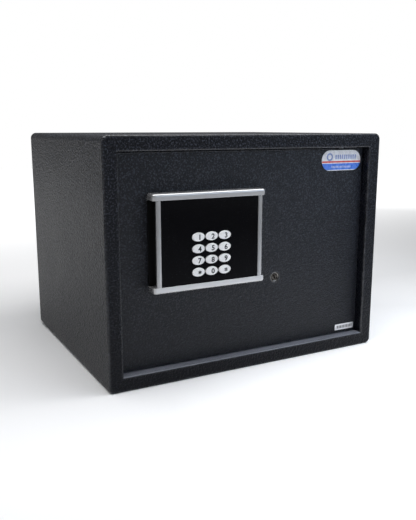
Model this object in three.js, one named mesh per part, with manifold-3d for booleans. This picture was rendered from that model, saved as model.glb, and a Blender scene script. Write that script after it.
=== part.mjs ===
// A small electronic safe: a folded steel cabinet, a recessed door on concealed pins, and a motor lock.
// Millimetres, +Z up. The origin is the centre of the base, the door faces -Y, the hinge is at +X.
import * as THREE from "three";
import { mergeVertices } from "three/addons/utils/BufferGeometryUtils.js";
import Module from "manifold-3d";

const wasm = await Module();
wasm.setup();

// ---- Driving dimensions ----
const GAP = 0.3; // left between fixed pieces that touch

// Cabinet
const WIDTH = 390;
const HEIGHT = 293;
const DEPTH = 316;
const SHEET = 2; // steel of the cabinet, its rear and the door frame
const CORNER_R = 8; // the four long edges
const FRONT_EDGE_R = 2.4; // edge round the front face
const FRAME_FACE = 18; // width of the face round the doorway
const ANCHOR_HOLE_R = 5;
const ANCHOR_SPREAD = 200; // between the two anchor holes of the base, and of the rear
const MAT_T = 2.5; // felt on the floor
const MAT_MARGIN = 3; // from the mat to the liner and to the rear

// Door
const RECESS = 12; // door face behind the frame's face
const DOOR_GAP = 1.5; // round the door
const DOOR_T = 4;
const STOP_REACH = 5; // how far the stop strips stand into the doorway
const STOP_T = 2;
const STOP_CLEAR = 0.6; // from a stop strip to the door plate and the door box
const PAN_SHEET = 2;
const PAN_LIP = 14; // flange that the inner cover is screwed to
const PAN_SIDE_CLEAR = 6; // from the door box to the doorway, left and right
const COVER_T = 2;
const SCREW = { r: 2, headR: 4, headHigh: 2, behindLip: 4, slot: 1, slotLong: 4.4 };

// Hinge: an upright pin at the top and the bottom of the door
const PIN_R = 3;
const PIN_RUNNING = 0.25; // radial clearance of the pin in the door
const PIVOT_INSET = 30; // from the door's hinge edge to the pin
const PIVOT_DEPTH = 8; // from the door's face to the pin
const PIN_REACH = 16; // how far a pin reaches into the door box
const HINGE_BLOCK = { width: 20, height: 14 };

// Locking bolts and the carriage that moves them
const BOLT_R = 9;
const BOLT_DEPTH = 20; // from the door's face to the bolts' middle
const BOLT_SPREAD = 120; // between the two bolts
const BOLT_THROW = 15;
const BOLT_RUNNING = 0.3; // radial clearance of a bolt in the door box
const BOLT_HOLE_CLEAR = 1.2; // and in the strike hole
const BOLT_STAND = 2.5; // tip of a drawn-back bolt beyond the door box
const BOLT_LONG = 55.2;
const BOLT_TO_COVER = 5; // from a bolt to the back of the door box
const CARRIAGE_T = 3;
const CARRIAGE_OVER = 14; // carriage beyond the middle of each bolt
const STUD_R = 3;
const STUD_COLLAR_R = 5;
const STUD_HEAD = 2;
const STUD_SPREAD = 76;
const SLOT_CLEAR = 0.4;
const SLOT_RIM = 4; // plate left beyond the end of a slot

// Rack and pinion
const MODULE = 1.25;
const TEETH = 12;
const PRESSURE = (25 * Math.PI) / 180;
const BACKLASH = 0.5;
const ADDENDUM = 0.8 * MODULE;
const DEDENDUM = 1.05 * MODULE;
const RACK_T = 4;
const RACK_HIGH = 9;
const PINION_BESIDE = 25.2; // from the carriage's plate to the pinion's middle
const PINION_T = 5;
const SHAFT_R = 2;
const GEARBOX = { width: 28, height: 34, depth: 16, offDoor: 2.5, below: 9 }; // below the pinion's middle
const MOTOR = { r: 8, long: 32, endR: 3, endLong: 3 };
const BEARING = { r: 5, high: 1.2 };
const BRACKET = { thick: 1.5, foot: 12, from: 2, to: 16 }; // from, to: above the pinion's middle

// Key override beside the keypad unit
const KEYHOLE_FROM_UNIT = { x: 26.4, z: -59 }; // right of the keypad unit's end, and below its middle
const KEYHOLE_R = 6.9; // hole in the door plate
const CYLINDER_R = 6.6;
const CYLINDER_SUNK = 0.5; // cylinder's face below the door's face
const PLUG_R = 4.2;
const PLUG_CLEAR = 0.3;
const KEYWAY = { width: 1.3, height: 6.4, depth: 9, tilt: (-28 * Math.PI) / 180 };
const PLUG_SUNK = 1.1; // plug's face below the cylinder's face
const NUT = { r: 11, thick: 4 };
const SHANK = 4.4; // square behind the plug
const CAM = { reach: 18, width: 7, thick: 2.4, hub: 6.6 };
const CAM_CLEAR = 0.8;
const LUG = 6; // width of the carriage's lug
const LUG_CLEAR = 2; // from the lug to the cam's hub

// Battery box and its sliding cover, on the inner face of the door
const CELL = { r: 7.1, long: 50 };
const CELLS = 4;
const CELL_SPACE = 1; // between two cells, and under them
const BATTERY_FROM = { side: 59, middle: 5.5 }; // from the door box's hinge side, and above its middle
const TRAY_WALL = 1.6;
const LID = { over: 4, thick: 1.8, clear: 0.4, travel: 62 };
const RAIL = { width: 2, lip: 2.4 };

// Control board and its reset button
const BOARD = { x: -32, above: 32, width: 116, height: 58, thick: 1.6, depth: 7 }; // above the box's foot
const COMPONENTS = [
  { name: "relay", x: -40, z: 12, width: 18, height: 15, tall: 10 },
  { name: "processor", x: -12, z: 8, width: 14, height: 14, tall: 2 },
  { name: "battery socket", x: -46, z: -16, width: 14, height: 8, tall: 7 },
  { name: "keypad socket", x: 14, z: -14, width: 22, height: 7, tall: 6 },
  { name: "capacitor", x: 46, z: 16, width: 8, height: 8, tall: 9 },
  { name: "reset switch", x: 40, z: 0, width: 8, height: 8, tall: 5 },
];
const RESET = { r: 5, proud: 3, travel: 2, collar: 3, clear: 0.3 };

// Keypad unit on the face of the door
const UNIT = { left: 35.8, top: 45.5, width: 151, height: 116 }; // left and top: from the door's edges
const UNIT_PROUD = 16.5; // from the door's face to the unit's face
const BAR_HIGH = 7.8; // satin bars above and below
const BAR_CORNER_R = 4.3;
const BAR_EDGE_R = 3;
const STRIP_INSET = 4.7; // from a bar's end to the strip's outer edge
const STRIP_WIDE = 6;
const STRIP_T = 3;
const STRIP_EDGE_R = 0.8;
const FASCIA_T = 2;
const FASCIA_SUNK = 0.5; // fascia's face behind the bars' face
const BASE_T = 2; // unit's foot on the door
const GRIP_BEHIND = 4; // the finger grip reaches this far past the left strip
const GRIP_SLOPE = 9; // and its wall leans back by this much
const POCKET_WALL = 5;
const RIM_LAP = 2; // the raised rim behind the fascia overlaps the pocket's wall
const BOARD_SETBACK = 9; // keypad board behind the unit's face
const CABLE_HOLE_R = 8;

// Keys
const KEY_NAMES = ["1", "2", "3", "4", "5", "6", "7", "8", "9", "star", "0", "hash"];
const KEY_COLUMNS = 3;
const KEY = { width: 16.5, height: 10.4, proud: 0.9, dome: 0.7, travel: 0.8, clear: 0.25 };
const KEY_SPACE = { x: 1.2, z: 3.6 }; // between keys
const LAST_ROW = 13.7; // middle of the lowest row above the lower bar
const KEY_SIDES = 20;
const KEY_TAB = { width: 8, over: 1.2, thick: 1 };
const DISPLAY = { width: 48, aboveKeys: 7, belowBar: 9.5 };
const ELECTRONICS_T = 1.6; // keypad board

// Plates on the door
const STICKER = { right: 3.6, top: 2.1, width: 64.8, height: 26.4, thick: 0.4 }; // from the door's edges
const RATING = { right: 2.9, bottom: 3.4, width: 32.5, height: 8.3, thick: 0.6, corner: 0.8 };
const LABEL_GAP = 0.1;

// ---- Values that follow ----
const FRONT = -DEPTH / 2;
const REAR = DEPTH / 2;
const DOORWAY = { x: WIDTH / 2 - FRAME_FACE, z0: FRAME_FACE, z1: HEIGHT - FRAME_FACE };
const DOOR = { x: DOORWAY.x - DOOR_GAP, z0: DOORWAY.z0 + DOOR_GAP, z1: DOORWAY.z1 - DOOR_GAP };
const PAN = {
  x: DOORWAY.x - PAN_SIDE_CLEAR,
  z0: DOORWAY.z0 + GAP + STOP_REACH + STOP_CLEAR,
  z1: DOORWAY.z1 - GAP - STOP_REACH - STOP_CLEAR,
  y0: DOOR_T + GAP,
  y1: BOLT_DEPTH + BOLT_R + BOLT_TO_COVER,
};
const LINER_DEPTH = RECESS + PAN.y1; // the doorway's lining runs back as far as the door box
const PIVOT_X = DOOR.x - PIVOT_INSET;
const CELL_PITCH = 2 * CELL.r + CELL_SPACE;
const TRAY_DEPTH = TRAY_WALL + CELL_SPACE + 2 * CELL.r + TRAY_WALL;
const KEY_PITCH = { x: KEY.width + KEY_SPACE.x, z: KEY.height + KEY_SPACE.z };
const RESET_SWITCH = COMPONENTS.find(({ name }) => name === "reset switch");
const MIDDLE_Z = HEIGHT / 2;
const BOLT_Z = [MIDDLE_Z + BOLT_SPREAD / 2, MIDDLE_Z - BOLT_SPREAD / 2];
const STUD_Z = [MIDDLE_Z + STUD_SPREAD / 2, MIDDLE_Z - STUD_SPREAD / 2];
const CARRIAGE_X = -PAN.x - BOLT_STAND + BOLT_LONG + GAP; // face that the bolts are fixed to
const PITCH_R = (MODULE * TEETH) / 2;
const CARRIAGE_Y = BOLT_DEPTH + BOLT_R; // rear face of the carriage
const STUD_X = CARRIAGE_X + CARRIAGE_T + STUD_COLLAR_R + SLOT_CLEAR;
const CARRIAGE_END = STUD_X + BOLT_THROW + STUD_R + SLOT_CLEAR + SLOT_RIM;
const UNIT_X = -DOOR.x + UNIT.left + UNIT.width / 2;
const UNIT_Z = DOOR.z1 - UNIT.top - UNIT.height / 2;
const KEYHOLE = { x: UNIT_X + UNIT.width / 2 + KEYHOLE_FROM_UNIT.x, z: UNIT_Z + KEYHOLE_FROM_UNIT.z };
const PINION_X = CARRIAGE_END + PINION_BESIDE;
const RACK_TOP = KEYHOLE.z + CAM.reach + CAM_CLEAR + RACK_HIGH + ADDENDUM;
const PINION_Z = RACK_TOP - ADDENDUM + PITCH_R;
const FINE = 24; // sides of a round hole or bar

// ---- Materials ----
function material(color, roughness, metalness) {
  return new THREE.MeshStandardMaterial({ color, roughness, metalness });
}
const bodyPaint = material(0x2b2b2d, 0.55, 0.1);
const doorPaint = material(0x25262b, 0.55, 0.1);
const zincSteel = material(0x9a9c9f, 0.4, 0.9);
const brightSteel = material(0xb8babd, 0.25, 1);
const satinSilver = material(0xb5b6ba, 0.35, 0.8);
const glossBlack = material(0x08090b, 0.08, 0);
const blackPlastic = material(0x141416, 0.5, 0);
const keyWhite = material(0xe8e9ec, 0.35, 0);
const greyFelt = material(0x3a3b3e, 0.95, 0);
const boardGreen = material(0x1f4d33, 0.5, 0);
const cellBlue = material(0x2a4c86, 0.35, 0.2);
const siliconeGrey = material(0x6b6d70, 0.7, 0);
const resetRed = material(0xa3231f, 0.4, 0);

// ---- Solid tools ----
function solid(geometry) {
  const bare = geometry.index ? geometry.toNonIndexed() : geometry.clone();
  bare.deleteAttribute("normal");
  bare.deleteAttribute("uv");
  const merged = mergeVertices(bare, 1e-4);
  return new wasm.Manifold(
    new wasm.Mesh({
      numProp: 3,
      vertProperties: merged.attributes.position.array,
      triVerts: new Uint32Array(merged.index.array),
    }),
  );
}

function geometryOf(body) {
  const mesh = body.getMesh();
  return new THREE.BufferGeometry()
    .setAttribute("position", new THREE.BufferAttribute(mesh.vertProperties, 3))
    .setIndex(new THREE.BufferAttribute(mesh.triVerts, 1));
}

function cut(body, ...tools) {
  return tools.reduce((left, tool) => left.subtract(tool), body);
}

function join(...bodies) {
  return bodies.reduce((whole, body) => whole.add(body));
}

function span(a, b) {
  return [Math.min(a, b), Math.max(a, b)];
}

// A block between two corners.
function block([x0, x1], [y0, y1], [z0, z1]) {
  const box = new THREE.BoxGeometry(x1 - x0, y1 - y0, z1 - z0);
  return solid(box.translate((x0 + x1) / 2, (y0 + y1) / 2, (z0 + z1) / 2));
}

// A round bar along an axis, from a to b. Its middle is given by the other two coordinates, in order.
function rod(axis, r, [a, b], [u, v], sides = FINE) {
  const bar = new THREE.CylinderGeometry(r, r, b - a, sides);
  const middle = (a + b) / 2;
  if (axis === "x") return solid(bar.rotateZ(Math.PI / 2).translate(middle, u, v));
  if (axis === "z") return solid(bar.rotateX(Math.PI / 2).translate(u, v, middle));
  return solid(bar.translate(u, middle, v));
}

const UPRIGHT = new THREE.Matrix4().makeBasis(
  new THREE.Vector3(1, 0, 0),
  new THREE.Vector3(0, 0, 1),
  new THREE.Vector3(0, -1, 0),
);

// An outline drawn in x and z, as thick as from y0 to y1, with its front edge rounded where edge is given.
function upright(outline, [y0, y1], edge = 0, curveSegments = 8) {
  const flat = new THREE.ExtrudeGeometry(outline, {
    depth: y1 - y0 - edge,
    bevelEnabled: edge > 0,
    bevelThickness: edge,
    bevelSize: edge,
    bevelOffset: -edge,
    bevelSegments: 3,
    curveSegments,
  });
  const whole = solid(flat.applyMatrix4(UPRIGHT).translate(0, y1, 0));
  return edge > 0 ? whole.trimByPlane([0, -1, 0], -y1) : whole;
}

function rectangle(width, height, r = 0, x = 0, z = 0) {
  const shape = new THREE.Shape();
  const [w, h] = [width / 2, height / 2];
  if (r === 0) {
    return shape.moveTo(x - w, z - h).lineTo(x + w, z - h).lineTo(x + w, z + h).lineTo(x - w, z + h);
  }
  shape.absarc(x + w - r, z - h + r, r, -Math.PI / 2, 0);
  shape.absarc(x + w - r, z + h - r, r, 0, Math.PI / 2);
  shape.absarc(x - w + r, z + h - r, r, Math.PI / 2, Math.PI);
  shape.absarc(x - w + r, z - h + r, r, Math.PI, (3 * Math.PI) / 2);
  return shape;
}

function polygon(points) {
  return new THREE.Shape(points.map(([x, y]) => new THREE.Vector2(x, y)));
}

// A turned piece along Y: pairs of distance along the axis and radius, closed on the axis.
function turned(profile, [x, z], sides = 24) {
  const points = profile.map(([along, r]) => new THREE.Vector2(r, along));
  return solid(new THREE.LatheGeometry(points, sides).translate(x, 0, z));
}

function place(parent, name, body, finish, [x, y, z] = [0, 0, 0]) {
  const mesh = new THREE.Mesh(geometryOf(body), finish);
  mesh.name = name;
  mesh.position.set(x, y, z);
  parent.add(mesh);
}

const safe = new THREE.Group();

// ---- Cabinet ----
const INSIDE = { x: WIDTH / 2 - SHEET, z0: SHEET, z1: HEIGHT - SHEET, r: CORNER_R - SHEET };

function insideOutline(clear) {
  const width = 2 * (INSIDE.x - clear);
  const height = INSIDE.z1 - INSIDE.z0 - 2 * clear;
  return rectangle(width, height, INSIDE.r - clear, 0, MIDDLE_Z);
}

const ANCHOR_X = [-ANCHOR_SPREAD / 2, ANCHOR_SPREAD / 2];

function cabinetShell() {
  const outline = rectangle(WIDTH, HEIGHT, CORNER_R, 0, MIDDLE_Z);
  const outside = upright(outline, [FRONT, REAR], FRONT_EDGE_R, 6);
  const hollow = upright(insideOutline(0), [FRONT + SHEET, REAR + 1], 0, 6);
  const doorway = block([-DOORWAY.x, DOORWAY.x], [FRONT - 1, FRONT + SHEET + 1], [DOORWAY.z0, DOORWAY.z1]);
  const anchors = ANCHOR_X.map((x) => rod("z", ANCHOR_HOLE_R, [-1, SHEET + 1], [x, 0]));
  return cut(outside, hollow, doorway, ...anchors);
}

function rearPanel() {
  const panel = upright(insideOutline(GAP), [REAR - SHEET, REAR], 0, 6);
  const anchors = ANCHOR_X.map((x) => rod("y", ANCHOR_HOLE_R, [REAR - SHEET - 1, REAR + 1], [x, MIDDLE_Z]));
  return cut(panel, ...anchors);
}

// The lining of the doorway, with a flange behind it that closes the pocket the bolts shoot into.
function doorFrameLiner() {
  const [x, z0, z1] = [DOORWAY.x, DOORWAY.z0, DOORWAY.z1];
  const end = FRONT + LINER_DEPTH;
  const start = FRONT + SHEET + GAP;
  const tube = block([-x - SHEET, x + SHEET], [start, end], [z0 - SHEET, z1 + SHEET]);
  const flange = upright(insideOutline(GAP), [end - SHEET, end], 0, 6);
  const doorway = block([-x, x], [start - 1, end + 1], [z0, z1]);
  const boltHoles = BOLT_Z.map((z) =>
    rod("x", BOLT_R + BOLT_HOLE_CLEAR, [-x - SHEET - 1, -x + 1], [FRONT + RECESS + BOLT_DEPTH, z]),
  );
  const pivot = [PIVOT_X, FRONT + RECESS + PIVOT_DEPTH];
  const pinHole = rod("z", PIN_R + GAP, [z0 - SHEET - 1, z1 + SHEET + 1], pivot);
  return cut(join(tube, flange), doorway, ...boltHoles, pinHole);
}

// Strips that the door plate shuts against. They stop short of the pins, where the door swings inwards.
function doorStop(z0) {
  const y0 = FRONT + RECESS + DOOR_T + STOP_CLEAR;
  const end = PIVOT_X - 2 * PIVOT_DEPTH;
  return block([-DOORWAY.x + GAP, end], [y0, y0 + STOP_T], [z0, z0 + STOP_REACH]);
}

// An upright pin: side is +1 at the top of the door, -1 at the bottom. Its head lies against the lining.
function hingePin(side) {
  const wall = side > 0 ? DOORWAY.z1 : DOORWAY.z0;
  const tip = side > 0 ? PAN.z1 - PIN_REACH : PAN.z0 + PIN_REACH;
  const head = wall + side * (SHEET + GAP);
  const centre = [PIVOT_X, FRONT + RECESS + PIVOT_DEPTH];
  return join(
    rod("z", PIN_R, span(tip, head + side), centre),
    rod("z", PIN_R + 2, span(head, head + side * 2.5), centre),
  );
}

function floorMat() {
  const x = INSIDE.x - INSIDE.r;
  const z0 = INSIDE.z0 + GAP;
  const y = [FRONT + LINER_DEPTH + MAT_MARGIN, REAR - SHEET - MAT_MARGIN];
  return block([-x, x], y, [z0, z0 + MAT_T]);
}

const cabinet = new THREE.Group();
safe.add(cabinet);
place(cabinet, "cabinet_shell", cabinetShell(), bodyPaint);
place(cabinet, "rear_panel", rearPanel(), bodyPaint);
place(cabinet, "door_frame_liner", doorFrameLiner(), bodyPaint);
place(cabinet, "door_stop_upper", doorStop(DOORWAY.z1 - GAP - STOP_REACH), bodyPaint);
place(cabinet, "door_stop_lower", doorStop(DOORWAY.z0 + GAP), bodyPaint);
place(cabinet, "hinge_pin_upper", hingePin(1), zincSteel);
place(cabinet, "hinge_pin_lower", hingePin(-1), zincSteel);
place(cabinet, "floor_mat", floorMat(), greyFelt);

// ---- Door. In this group y is the distance behind the door's face. ----
const door = new THREE.Group();
door.position.y = FRONT + RECESS;
safe.add(door);

function doorPlate() {
  const middle = (DOOR.z0 + DOOR.z1) / 2;
  const outline = rectangle(2 * DOOR.x, DOOR.z1 - DOOR.z0, 1, 0, middle);
  const keyhole = rod("y", KEYHOLE_R, [-1, DOOR_T + 1], [KEYHOLE.x, KEYHOLE.z]);
  const cableHole = rod("y", CABLE_HOLE_R, [-1, DOOR_T + 1], [UNIT_X, UNIT_Z]);
  return cut(upright(outline, [0, DOOR_T], 0, 2), keyhole, cableHole);
}

const SCREW_X = PAN.x - PAN_LIP / 2;
const SCREW_Z = [PAN.z0 + PAN_LIP / 2, PAN.z1 - PAN_LIP / 2];
const SCREW_PLACES = [-SCREW_X, SCREW_X].flatMap((x) => SCREW_Z.map((z) => [x, z]));

// The folded box behind the door plate, open at the back inside its lip.
function doorPan() {
  const t = PAN_SHEET;
  const outside = block([-PAN.x, PAN.x], [PAN.y0, PAN.y1], [PAN.z0, PAN.z1]);
  const hollow = block([-PAN.x + t, PAN.x - t], [PAN.y0 - 1, PAN.y1 - t], [PAN.z0 + t, PAN.z1 - t]);
  const mouth = block(
    [-PAN.x + PAN_LIP, PAN.x - PAN_LIP],
    [PAN.y1 - t - 1, PAN.y1 + 1],
    [PAN.z0 + PAN_LIP, PAN.z1 - PAN_LIP],
  );
  const wall = [-PAN.x - 1, -PAN.x + t + 1];
  const boltHoles = BOLT_Z.map((z) => rod("x", BOLT_R + BOLT_RUNNING, wall, [BOLT_DEPTH, z]));
  const pinHole = rod("z", PIN_R + PIN_RUNNING, [PAN.z0 - 1, PAN.z1 + 1], [PIVOT_X, PIVOT_DEPTH]);
  const lip = [PAN.y1 - t - 1, PAN.y1 + 1];
  const screwHoles = SCREW_PLACES.map((at) => rod("y", SCREW.r + GAP, lip, at, 16));
  return cut(outside, hollow, mouth, ...boltHoles, pinHole, ...screwHoles);
}

// The block inside the door box that turns on a pin.
function hingeBlock(side) {
  const edge = side > 0 ? PAN.z1 - PAN_SHEET - GAP : PAN.z0 + PAN_SHEET + GAP;
  const z = span(edge, edge - side * HINGE_BLOCK.height);
  const half = HINGE_BLOCK.width / 2;
  const body = block([PIVOT_X - half, PIVOT_X + half], [PAN.y0, PIVOT_DEPTH + half], z);
  return cut(body, rod("z", PIN_R + PIN_RUNNING, [z[0] - 1, z[1] + 1], [PIVOT_X, PIVOT_DEPTH]));
}

const TRAY = {
  x: (CELLS * CELL_PITCH) / 2 + GAP,
  z: CELL.long / 2 + 1.5,
  y1: PAN.y1 - GAP,
};
const BATTERY = { x: PAN.x - BATTERY_FROM.side, z: MIDDLE_Z + BATTERY_FROM.middle };
const BOARD_Z = PAN.z0 + BOARD.above;
const RESET_X = BOARD.x + RESET_SWITCH.x;
const RESET_Z = BOARD_Z + RESET_SWITCH.z;
const LID_HALF = { x: TRAY.x + LID.over, z: TRAY.z + LID.over };
const COVER_Y = [PAN.y1 + GAP, PAN.y1 + GAP + COVER_T];

// The plate over the back of the door, with the rails that hold the battery cover.
function innerCover() {
  const edge = 2;
  const middle = (PAN.z0 + PAN.z1) / 2;
  const outline = rectangle(2 * (PAN.x - edge), PAN.z1 - PAN.z0 - 2 * edge, 4, 0, middle);
  const plate = upright(outline, COVER_Y, 0, 3);
  const railZ = [BATTERY.z - LID_HALF.z - LID.travel, BATTERY.z + LID_HALF.z];
  const lidTop = COVER_Y[1] + LID.thick + 2 * LID.clear;
  const rails = [-1, 1].flatMap((side) => {
    const wall = BATTERY.x + side * (LID_HALF.x + LID.clear);
    const outer = wall + side * RAIL.width;
    const lip = wall - side * RAIL.lip;
    return [
      block(span(wall, outer), [COVER_Y[1] - 1, lidTop + RAIL.width], railZ),
      block(span(lip, outer), [lidTop, lidTop + RAIL.width], railZ),
    ];
  });
  const through = [COVER_Y[0] - 1, COVER_Y[1] + 1];
  const window = block(
    [BATTERY.x - TRAY.x, BATTERY.x + TRAY.x],
    through,
    [BATTERY.z - TRAY.z, BATTERY.z + TRAY.z],
  );
  const screwHoles = SCREW_PLACES.map((at) => rod("y", SCREW.r + GAP, through, at, 16));
  const resetHole = rod("y", RESET.r + RESET.clear, through, [RESET_X, RESET_Z]);
  return cut(join(plate, ...rails), window, ...screwHoles, resetHole);
}

function coverScrew() {
  const { r, headR, headHigh, behindLip, slot, slotLong } = SCREW;
  const seat = COVER_Y[1] + GAP;
  const tip = PAN.y1 - PAN_SHEET - behindLip;
  const top = seat + headHigh;
  const profile = [[tip, 0], [tip, r], [seat, r], [seat, headR], [seat + 0.6 * headHigh, 0.8 * headR],
    [top, 0.4 * headR], [top, 0]];
  const slotY = [seat + 0.4 * headHigh, top + 1];
  const along = [-slotLong / 2, slotLong / 2];
  const across = [-slot / 2, slot / 2];
  return cut(turned(profile, [0, 0], 12), block(along, slotY, across), block(across, slotY, along));
}

place(door, "door_plate", doorPlate(), doorPaint);
place(door, "door_pan", doorPan(), bodyPaint);
place(door, "hinge_block_upper", hingeBlock(1), zincSteel);
place(door, "hinge_block_lower", hingeBlock(-1), zincSteel);
place(door, "inner_cover", innerCover(), blackPlastic);
SCREW_PLACES.forEach(([x, z], i) => {
  place(door, "cover_screw_" + (i + 1), coverScrew(), zincSteel, [x, 0, z]);
});

// ---- Bolt work ----
function lockingBolt() {
  const tip = -PAN.x - BOLT_STAND;
  const end = CARRIAGE_X - GAP;
  const round = 1.2;
  const profile = [[tip, 0], [tip, BOLT_R - round], [tip + 0.35, BOLT_R - 0.35], [tip + round, BOLT_R],
    [end, BOLT_R], [end, 0]];
  const points = profile.map(([along, r]) => new THREE.Vector2(r, along));
  return solid(new THREE.LatheGeometry(points, FINE).rotateZ(-Math.PI / 2));
}

// Teeth of the rack from x0 to x1, with one tooth centred on the pinion.
function rackOutline(x0, x1, bottom) {
  const pitch = Math.PI * MODULE;
  const pitchLine = RACK_TOP - ADDENDUM;
  const half = pitch / 4 - BACKLASH / 4;
  const slope = Math.tan(PRESSURE);
  const points = [[x0, bottom], [x1, bottom], [x1, pitchLine - DEDENDUM]];
  const last = Math.floor((x1 - PINION_X - half - DEDENDUM * slope) / pitch);
  const first = Math.ceil((x0 - PINION_X + half + DEDENDUM * slope) / pitch);
  for (let i = last; i >= first; i--) {
    const x = PINION_X + i * pitch;
    points.push([x + half + DEDENDUM * slope, pitchLine - DEDENDUM]);
    points.push([x + half - ADDENDUM * slope, RACK_TOP]);
    points.push([x - half + ADDENDUM * slope, RACK_TOP]);
    points.push([x - half - DEDENDUM * slope, pitchLine - DEDENDUM]);
  }
  points.push([x0, pitchLine - DEDENDUM]);
  return polygon(points);
}

// A folded plate that carries both bolts, with the rack and a lug for the key's cam on its arm.
function boltCarriage() {
  const y1 = CARRIAGE_Y;
  const z = [BOLT_Z[1] - CARRIAGE_OVER, BOLT_Z[0] + CARRIAGE_OVER];
  const web = block([CARRIAGE_X, CARRIAGE_X + CARRIAGE_T], [BOLT_DEPTH - BOLT_R, y1], z);
  const flange = block([CARRIAGE_X, CARRIAGE_END], [y1 - CARRIAGE_T, y1], z);
  const slots = STUD_Z.flatMap((stud) => {
    const r = STUD_R + SLOT_CLEAR;
    const y = [y1 - CARRIAGE_T - 1, y1 + 1];
    const ends = [STUD_X, STUD_X + BOLT_THROW];
    return [...ends.map((x) => rod("y", r, y, [x, stud])), block(ends, y, [stud - r, stud + r])];
  });
  const armBottom = RACK_TOP - RACK_HIGH - ADDENDUM;
  const lugX = KEYHOLE.x + CAM.width / 2 + CAM_CLEAR;
  const rackEnd = PINION_X + BOLT_THROW + 2 * PITCH_R;
  const thick = [y1 - RACK_T, y1];
  const arm = upright(rackOutline(CARRIAGE_END - 1, rackEnd, armBottom), thick);
  const tail = block([rackEnd - 1, lugX + LUG], thick, [armBottom, RACK_TOP - ADDENDUM - DEDENDUM]);
  const lug = block([lugX, lugX + LUG], thick, [KEYHOLE.z + CAM.hub + LUG_CLEAR, armBottom + 1]);
  return join(cut(join(web, flange), ...slots), arm, tail, lug);
}

// A shoulder stud that the carriage slides on, riveted to the door plate.
function guideStud() {
  const shoulder = CARRIAGE_Y - CARRIAGE_T - SLOT_CLEAR;
  const head = CARRIAGE_Y + SLOT_CLEAR;
  const y0 = DOOR_T + GAP;
  const collar = STUD_COLLAR_R;
  const profile = [[y0, 0], [y0, collar], [shoulder, collar], [shoulder, STUD_R], [head, STUD_R],
    [head, collar], [head + STUD_HEAD, collar - 1], [head + STUD_HEAD, 0]];
  return turned(profile, [0, 0], 20);
}

// An involute pinion on its shaft, with a gap between teeth facing straight down at the rack.
function motorPinion() {
  const baseR = PITCH_R * Math.cos(PRESSURE);
  const involute = (r) => {
    const angle = Math.acos(Math.min(1, baseR / r));
    return Math.tan(angle) - angle;
  };
  const halfAtPitch = Math.PI / (2 * TEETH) - BACKLASH / (4 * PITCH_R);
  const halfAt = (r) => halfAtPitch + involute(PITCH_R) - involute(r);
  const rootR = PITCH_R - DEDENDUM;
  const tipR = PITCH_R + ADDENDUM;
  const radii = [baseR, PITCH_R, tipR - ADDENDUM / 2, tipR];
  const points = [];
  for (let i = 0; i < TEETH; i++) {
    const middle = ((i + 0.5) * 2 * Math.PI) / TEETH;
    const at = (r, angle) => points.push([r * Math.cos(angle), r * Math.sin(angle)]);
    at(rootR, middle - halfAt(baseR));
    radii.forEach((r) => at(r, middle - halfAt(r)));
    [...radii].reverse().forEach((r) => at(r, middle + halfAt(r)));
    at(rootR, middle + halfAt(baseR));
  }
  const y1 = CARRIAGE_Y + (PINION_T - RACK_T) / 2;
  const y0 = y1 - PINION_T;
  return join(upright(polygon(points), [y0, y1]), rod("y", SHAFT_R, [y0 - 6, y1 + 2], [0, 0], 16));
}

function gearMotor() {
  const { width, height, depth, offDoor, below } = GEARBOX;
  const y = [DOOR_T + offDoor, DOOR_T + offDoor + depth];
  const bottom = PINION_Z - below;
  const box = upright(rectangle(width, height, 3, PINION_X, bottom + height / 2), y, 0, 3);
  const top = bottom + height;
  const axle = [PINION_X, (y[0] + y[1]) / 2];
  const can = rod("z", MOTOR.r, [top - 1, top + MOTOR.long], axle);
  const tail = rod("z", MOTOR.endR, [top + MOTOR.long - 1, top + MOTOR.long + MOTOR.endLong], axle, 16);
  const bearing = rod("y", BEARING.r, [y[1] - 1, y[1] + BEARING.high], [PINION_X, PINION_Z]);
  const shaftHole = rod("y", SHAFT_R + GAP, [y[1] - 6, y[1] + 3], [PINION_X, PINION_Z], 16);
  return cut(join(box, can, tail, bearing), shaftHole);
}

// A folded strap that holds the gearbox to the door plate.
function motorBracket() {
  const { thick: t, foot, from, to } = BRACKET;
  const y0 = DOOR_T + GAP;
  const x = PINION_X + GEARBOX.width / 2 + GAP;
  const left = PINION_X - GEARBOX.width / 2 - GAP;
  const z = [PINION_Z + from, PINION_Z + to];
  const top = DOOR_T + GEARBOX.offDoor + GEARBOX.depth + GAP;
  const feet = [[left - foot, left], [x, x + foot]].map((wide) => block(wide, [y0, y0 + t], z));
  const legs = [[left - t, left], [x, x + t]].map((wide) => block(wide, [y0, top + t], z));
  const strap = block([left - t, x + t], [top, top + t], [PINION_Z + PITCH_R + ADDENDUM + 1, z[1]]);
  return join(...feet, ...legs, strap);
}

const boltWork = new THREE.Group();
door.add(boltWork);
["upper", "lower"].forEach((which, i) => {
  place(boltWork, "bolt_" + which, lockingBolt(), brightSteel, [0, BOLT_DEPTH, BOLT_Z[i]]);
  place(boltWork, "guide_stud_" + which, guideStud(), zincSteel, [STUD_X, 0, STUD_Z[i]]);
});
place(boltWork, "bolt_carriage", boltCarriage(), zincSteel);
place(boltWork, "motor_pinion", motorPinion(), brightSteel, [PINION_X, 0, PINION_Z]);
place(boltWork, "gear_motor", gearMotor(), zincSteel);
place(boltWork, "motor_bracket", motorBracket(), zincSteel);

// ---- Key override. The cam points to the left at rest. ----
const CAM_Y1 = CARRIAGE_Y - (RACK_T - CAM.thick) / 2;
const CAM_Y0 = CAM_Y1 - CAM.thick;

function lockCylinder() {
  const end = CAM_Y0 - GAP;
  const ring = 0.9; // bevel round the face
  const profile = [[CYLINDER_SUNK, CYLINDER_R], [end, CYLINDER_R], [end, PLUG_R + PLUG_CLEAR],
    [CYLINDER_SUNK + ring, PLUG_R + PLUG_CLEAR], [CYLINDER_SUNK, PLUG_R + PLUG_CLEAR + ring]];
  return turned([...profile, profile[0]], [0, 0], FINE);
}

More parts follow.
